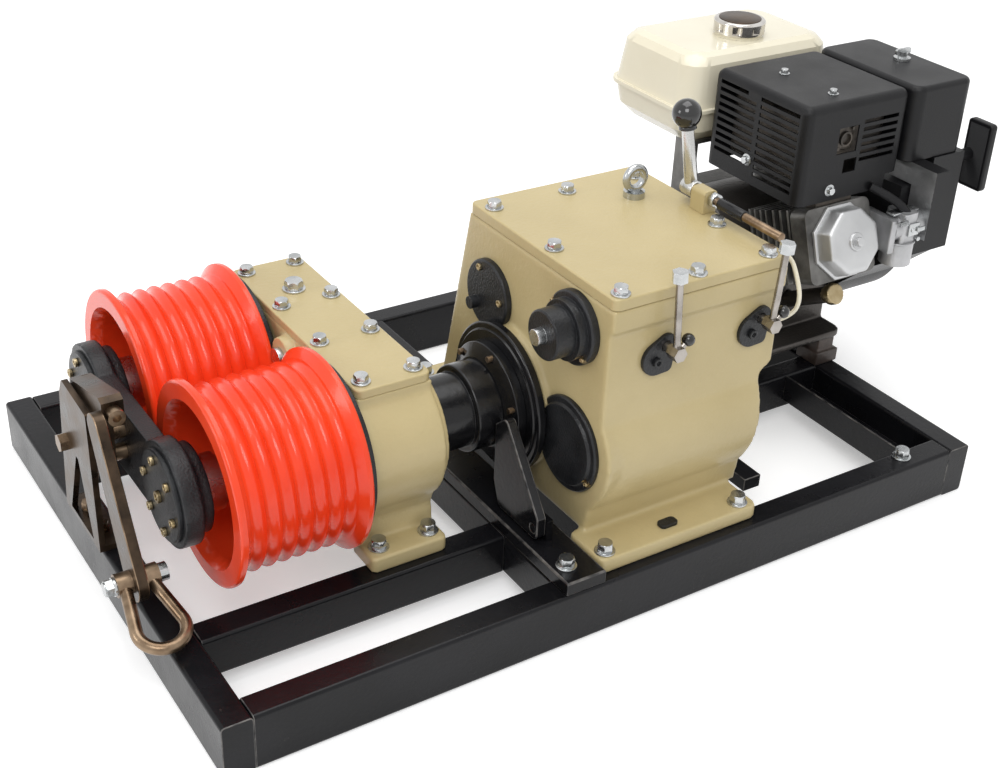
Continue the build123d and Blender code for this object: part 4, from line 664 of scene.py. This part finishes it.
def recoil_side():
    """Fan housing with a ring of air slots in the recoil cover."""
    piece = node_copy("blower_housing")
    slots = 16
    cutters = []
    for count in range(slots):
        slit = slab(0.752, 0.770, -0.004, 0.004, 0.056, 0.086)
        cutters.append(moved(slit, at_place(0, CRANK_Y, CRANK_Z), turned(360 * (count + 0.5) / slots, "X")))
    cut_away(piece, cutters)
    stand_for(piece, "blower_housing", PLASTIC)


def pipe(points, radius, name, finish):
    """Smooth bent pipe through a few points."""
    bpy.ops.object.select_all(action="DESELECT")
    bpy.ops.curve.primitive_nurbs_path_add()
    path = bpy.context.object
    path.data.splines.clear()
    line = path.data.splines.new("NURBS")
    line.points.add(len(points) - 1)
    for point, place in zip(line.points, points):
        point.co = (*place, 1)
    line.order_u = 3
    line.use_endpoint_u = True
    line.resolution_u = 8
    path.data.bevel_depth = radius
    path.data.bevel_resolution = 6
    path.data.use_fill_caps = True
    path.location = (0, 0, 0)
    only(path)
    bpy.ops.object.convert(target="MESH")
    settle(path)
    dress(path, name, "skid", finish)


def breather_pipe():
    """Black pipe from behind the rocker cover down to the carburettor."""
    pipe([(0.548, -0.168, 0.418), (0.566, -0.186, 0.408), (0.585, -0.205, 0.392), (0.592, -0.214, 0.378)],
         0.0065, "breather_pipe", PLASTIC)


def throttle_plates():
    """Throttle plates, screws and the idle spring round the carburettor."""
    lever = slab(0.583, 0.604, -0.226, -0.223, 0.352, 0.372)
    link = slab(0.598, 0.613, -0.229, -0.226, 0.358, 0.365)
    shelf = slab(0.560, 0.612, -0.212, -0.196, 0.384, 0.387)
    plates = bevelled(fuse([lever, link, shelf]), 0.0008)
    screws = []
    for x, z in ((0.590, 0.362), (0.575, 0.375), (0.605, 0.345)):
        screws.append(bevelled(rod(x, -0.2235, z, 0.0035, 0.008, "Y", 20), 0.0006))
    spring = [rod(0.560 + 0.0022 * i, -0.226, 0.377, 0.0038, 0.0011, "X", 18) for i in range(8)]
    dress(fuse([plates, *screws, *spring]), "throttle_plates", "skid", ZINC)


def vent_tube():
    """Cream vent tube that bows out of the end of the main case."""
    pipe([(0.222, -0.330, 0.452), (VENT_X, -0.335, 0.448), (VENT_X, -0.353, 0.423), (VENT_X, -0.364, 0.396),
          (VENT_X, -0.3545, 0.370), (0.222, -0.345, 0.362)], 0.003, "vent_tube", CREAM)


def bowl_trim():
    """Lip round the float bowl and the drain screw under it."""
    lip = bevelled(rod(BOWL_X, BOWL_Y, 0.339, 0.0255, 0.003, "Z", 48), 0.0008)
    drain = moved(chamfered_hex(0.010, 0.006), at_place(BOWL_X, BOWL_Y, 0.2965))
    dress(fuse([lip, drain]), "bowl_trim", "skid", ALLOY)


def fuel_cap_disc():
    """Brown weathered disc in the top of the fuel cap."""
    disc = bevelled(rod(FUEL_CAP_X, FUEL_CAP_Y, FUEL_CAP_TOP_Z, 0.033, 0.0012, "Z", 64), 0.0005)
    dress(disc, "fuel_cap_disc", "filler_cap", BRONZE)


exhaust_guard()
exhaust_port()
recoil_side()
breather_pipe()
throttle_plates()
vent_tube()
bowl_trim()
fuel_cap_disc()


# Clutch lever, rocker cover and starter grip


def leaning(piece):
    """The piece moved from the origin to the clutch rod, leaning as the stick does."""
    return moved(piece, at_place(CLUTCH_X, CLUTCH_HUB_Y, CLUTCH_Z), turned(-6, "X"), turned(-7, "Y"))


def clutch_control():
    """Cross rod, sleeve, nut, stick and ball of the clutch lever."""
    shaft = bevelled(rod(CLUTCH_X, -0.2355, CLUTCH_Z, 0.006, 0.195, "Y"), 0.001)
    sleeve = bevelled(rod(CLUTCH_X, -0.2362, CLUTCH_Z, 0.0078, 0.05, "Y", 36), 0.001)
    nut = moved(chamfered_hex(0.019, 0.0085), at_place(CLUTCH_X, -0.1965, CLUTCH_Z), turned(90, "X"))
    hub = bevelled(rod(CLUTCH_X, CLUTCH_HUB_Y, CLUTCH_Z, 0.012, 0.024, "Y", 40), 0.001)
    stick = bevelled(leaning(rod(0, 0, 0.046, 0.0096, 0.088, "Z", 40, 0.86)), 0.001)
    bpy.ops.object.select_all(action="DESELECT")
    bpy.ops.mesh.primitive_uv_sphere_add(segments=48, ring_count=32, radius=0.02, location=(0, 0, 0.105))
    knob = bpy.context.object
    settle(knob)
    collar = bevelled(rod(0, 0, 0.0865, 0.0125, 0.005, "Z", 40, 0.9), 0.0008)
    for piece, name, slot, finish in (
        (shaft, "clutch_rod", "passivated_steel", BRONZE_EDGE),
        (sleeve, "clutch_sleeve", "black_iron", BLACK_GLOSS),
        (nut, "clutch_nut", "zinc", ZINC),
        (fuse([stick, hub]), "clutch_handle", "bright_steel", STEEL),
        (leaning(fuse([knob, collar])), "clutch_ball", "black_plastic", BALL_BLACK),
    ):
        dress(piece, name, "clutch_control", finish)
        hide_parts("clutch_lever")


def grow(piece, towards, inset, rise):
    """Inset the faces that look along a direction, then push them out or in."""
    bpy.context.tool_settings.mesh_select_mode = (False, False, True)
    for face in piece.data.polygons:
        face.select = face.normal.dot(towards) > 0.95
    only(piece)
    bpy.ops.object.mode_set(mode="EDIT")
    bpy.ops.mesh.inset(thickness=inset, depth=rise)
    bpy.ops.object.mode_set(mode="OBJECT")


def pressed_rocker_cover():
    """Eight-sided cover: a lip, a drawn wall, a broad raised face and a bolt on a round boss."""
    lip = moved(rod(0, 0, HEAD_END + 0.0025, 0.0584, 0.005, "Z", 8), turned(22.5, "Z"))
    body = moved(rod(0, 0, HEAD_END + 0.016, 0.0545, 0.026, "Z", 8, 0.93), turned(22.5, "Z"))
    grow(body, Vector((0, 0, 1)), 0.007, 0.0035)
    bevel(body, 0.003, 3, 15)
    apply_all(body)
    bevelled(lip, 0.001)
    boss = bevelled(rod(0, 0, HEAD_END + 0.033, 0.015, 0.005, "Z", 48, 0.86), 0.001)
    plate = rod(0, 0, HEAD_END + 0.036, 0.0105, 0.0015, "Z", 40)
    head = moved(chamfered_hex(0.013, 0.0065), at_place(0, 0, HEAD_END + 0.0365))
    piece = fuse([body, lip, boss, plate, head])
    moved(piece, at_place(CYLINDER_X, CRANK_Y, CRANK_Z), turned(CYLINDER_LEAN, "X"))
    dress(piece, "rocker_cover_skin", "skid", COVER_ALLOY)
    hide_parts("rocker_cover")


def pull_grip():
    """Moulded T-handle with finger hollows, its stem and the rope."""
    handle = slab(0.766, 0.785, -0.190, -0.142, 0.3715, 0.4805)
    for towards in (Vector((1, 0, 0)), Vector((-1, 0, 0))):
        grow(handle, towards, 0.006, -0.003)
    bevel(handle, 0.009, 5, 60)
    apply_all(handle)
    stem = bevelled(rod(0.7495, GRIP_Y, GRIP_Z, 0.008, 0.037, taper=1.2), 0.001)
    rope = rod(0.70, GRIP_Y, GRIP_Z, 0.003, 0.07, sides=20)
    piece = dress(fuse([handle, stem, rope]), "pull_grip", "starter", PLASTIC)
    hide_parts("starter_grip")


clutch_control()
pressed_rocker_cover()
pull_grip()


# Floor, light and camera


def seen_by(tree, *rays):
    """Socket that is 1 for these kinds of ray and 0 for the rest."""
    path = tree.nodes.new("ShaderNodeLightPath")
    level = path.outputs[rays[0]]
    for ray in rays[1:]:
        either = tree.nodes.new("ShaderNodeMath")
        either.operation = "MAXIMUM"
        tree.links.new(level, either.inputs[0])
        tree.links.new(path.outputs[ray], either.inputs[1])
        level = either.outputs["Value"]
    return level


def pale_floor():
    """Pale finish that the camera and the reflections see as nearly white."""
    finish = bpy.data.materials.new("studio floor")
    finish.use_nodes = True
    nodes, links = finish.node_tree.nodes, finish.node_tree.links
    shader = nodes["Principled BSDF"]
    shader.inputs["Roughness"].default_value = 0.9
    place = nodes.new("ShaderNodeTexCoord")
    cloud = nodes.new("ShaderNodeTexNoise")
    cloud.inputs["Scale"].default_value = 3.0
    links.new(place.outputs["Object"], cloud.inputs["Vector"])
    ramp = nodes.new("ShaderNodeValToRGB")
    ramp.color_ramp.elements[0].color = (0.86, 0.86, 0.86, 1)
    ramp.color_ramp.elements[1].color = (0.90, 0.90, 0.90, 1)
    links.new(cloud.outputs["Fac"], ramp.inputs["Fac"])
    links.new(ramp.outputs["Color"], shader.inputs["Base Color"])
    glow = nodes.new("ShaderNodeMath")
    glow.operation = "MULTIPLY"
    glow.inputs[1].default_value = 0.4
    links.new(seen_by(finish.node_tree, "Is Camera Ray", "Is Glossy Ray"), glow.inputs[0])
    shader.inputs["Emission Color"].default_value = (1, 1, 1, 1)
    links.new(glow.outputs["Value"], shader.inputs["Emission Strength"])
    return finish


def floor():
    """Wide plain floor just under the frame."""
    bpy.ops.object.select_all(action="DESELECT")
    bpy.ops.mesh.primitive_plane_add(size=60, location=(0, 0, -0.0005))
    plane = bpy.context.object
    plane.name = "floor"
    plane.data.materials.append(pale_floor())


def sky():
    """Soft pale sky that lights less than it shows."""
    world = bpy.context.scene.world or bpy.data.worlds.new("studio")
    bpy.context.scene.world = world
    world.use_nodes = True
    tree = world.node_tree
    level = tree.nodes.new("ShaderNodeMapRange")
    level.inputs["To Min"].default_value = 0.62
    level.inputs["To Max"].default_value = 1.0
    seen = seen_by(tree, "Is Camera Ray", "Is Transmission Ray", "Is Glossy Ray")
    tree.links.new(seen, level.inputs["Value"])
    background = tree.nodes["Background"]
    background.inputs["Color"].default_value = (1, 1, 1, 1)
    tree.links.new(level.outputs["Result"], background.inputs["Strength"])


def lamp(name, place, turn, size, power):
    """Square soft lamp; turn is in degrees."""
    aim = [math.radians(angle) for angle in turn]
    bpy.ops.object.light_add(type="AREA", location=place, rotation=aim)
    light = bpy.context.object
    light.name = name
    light.data.size = size
    light.data.energy = power


def camera():
    """Camera at the photograph's place."""
    aim = [math.radians(angle) for angle in CAMERA_TURN]
    bpy.ops.object.camera_add(location=CAMERA_PLACE, rotation=aim)
    view = bpy.context.object
    view.data.lens = CAMERA_LENS
    view.data.sensor_width = 36.0
    view.data.clip_start = 0.05
    bpy.context.scene.camera = view


floor()
sky()
lamp("key lamp", (-1.6, -2.2, 3.0), (38, 0, -36), 1.6, 42)
lamp("top lamp", (0.3, 0.2, 3.2), (0, 0, 0), 2.2, 38)
lamp("side lamp", (-3.2, 0.6, 1.6), (0, -68, 0), 1.0, 16)
camera()
bpy.context.scene.view_settings.view_transform = "Standard"
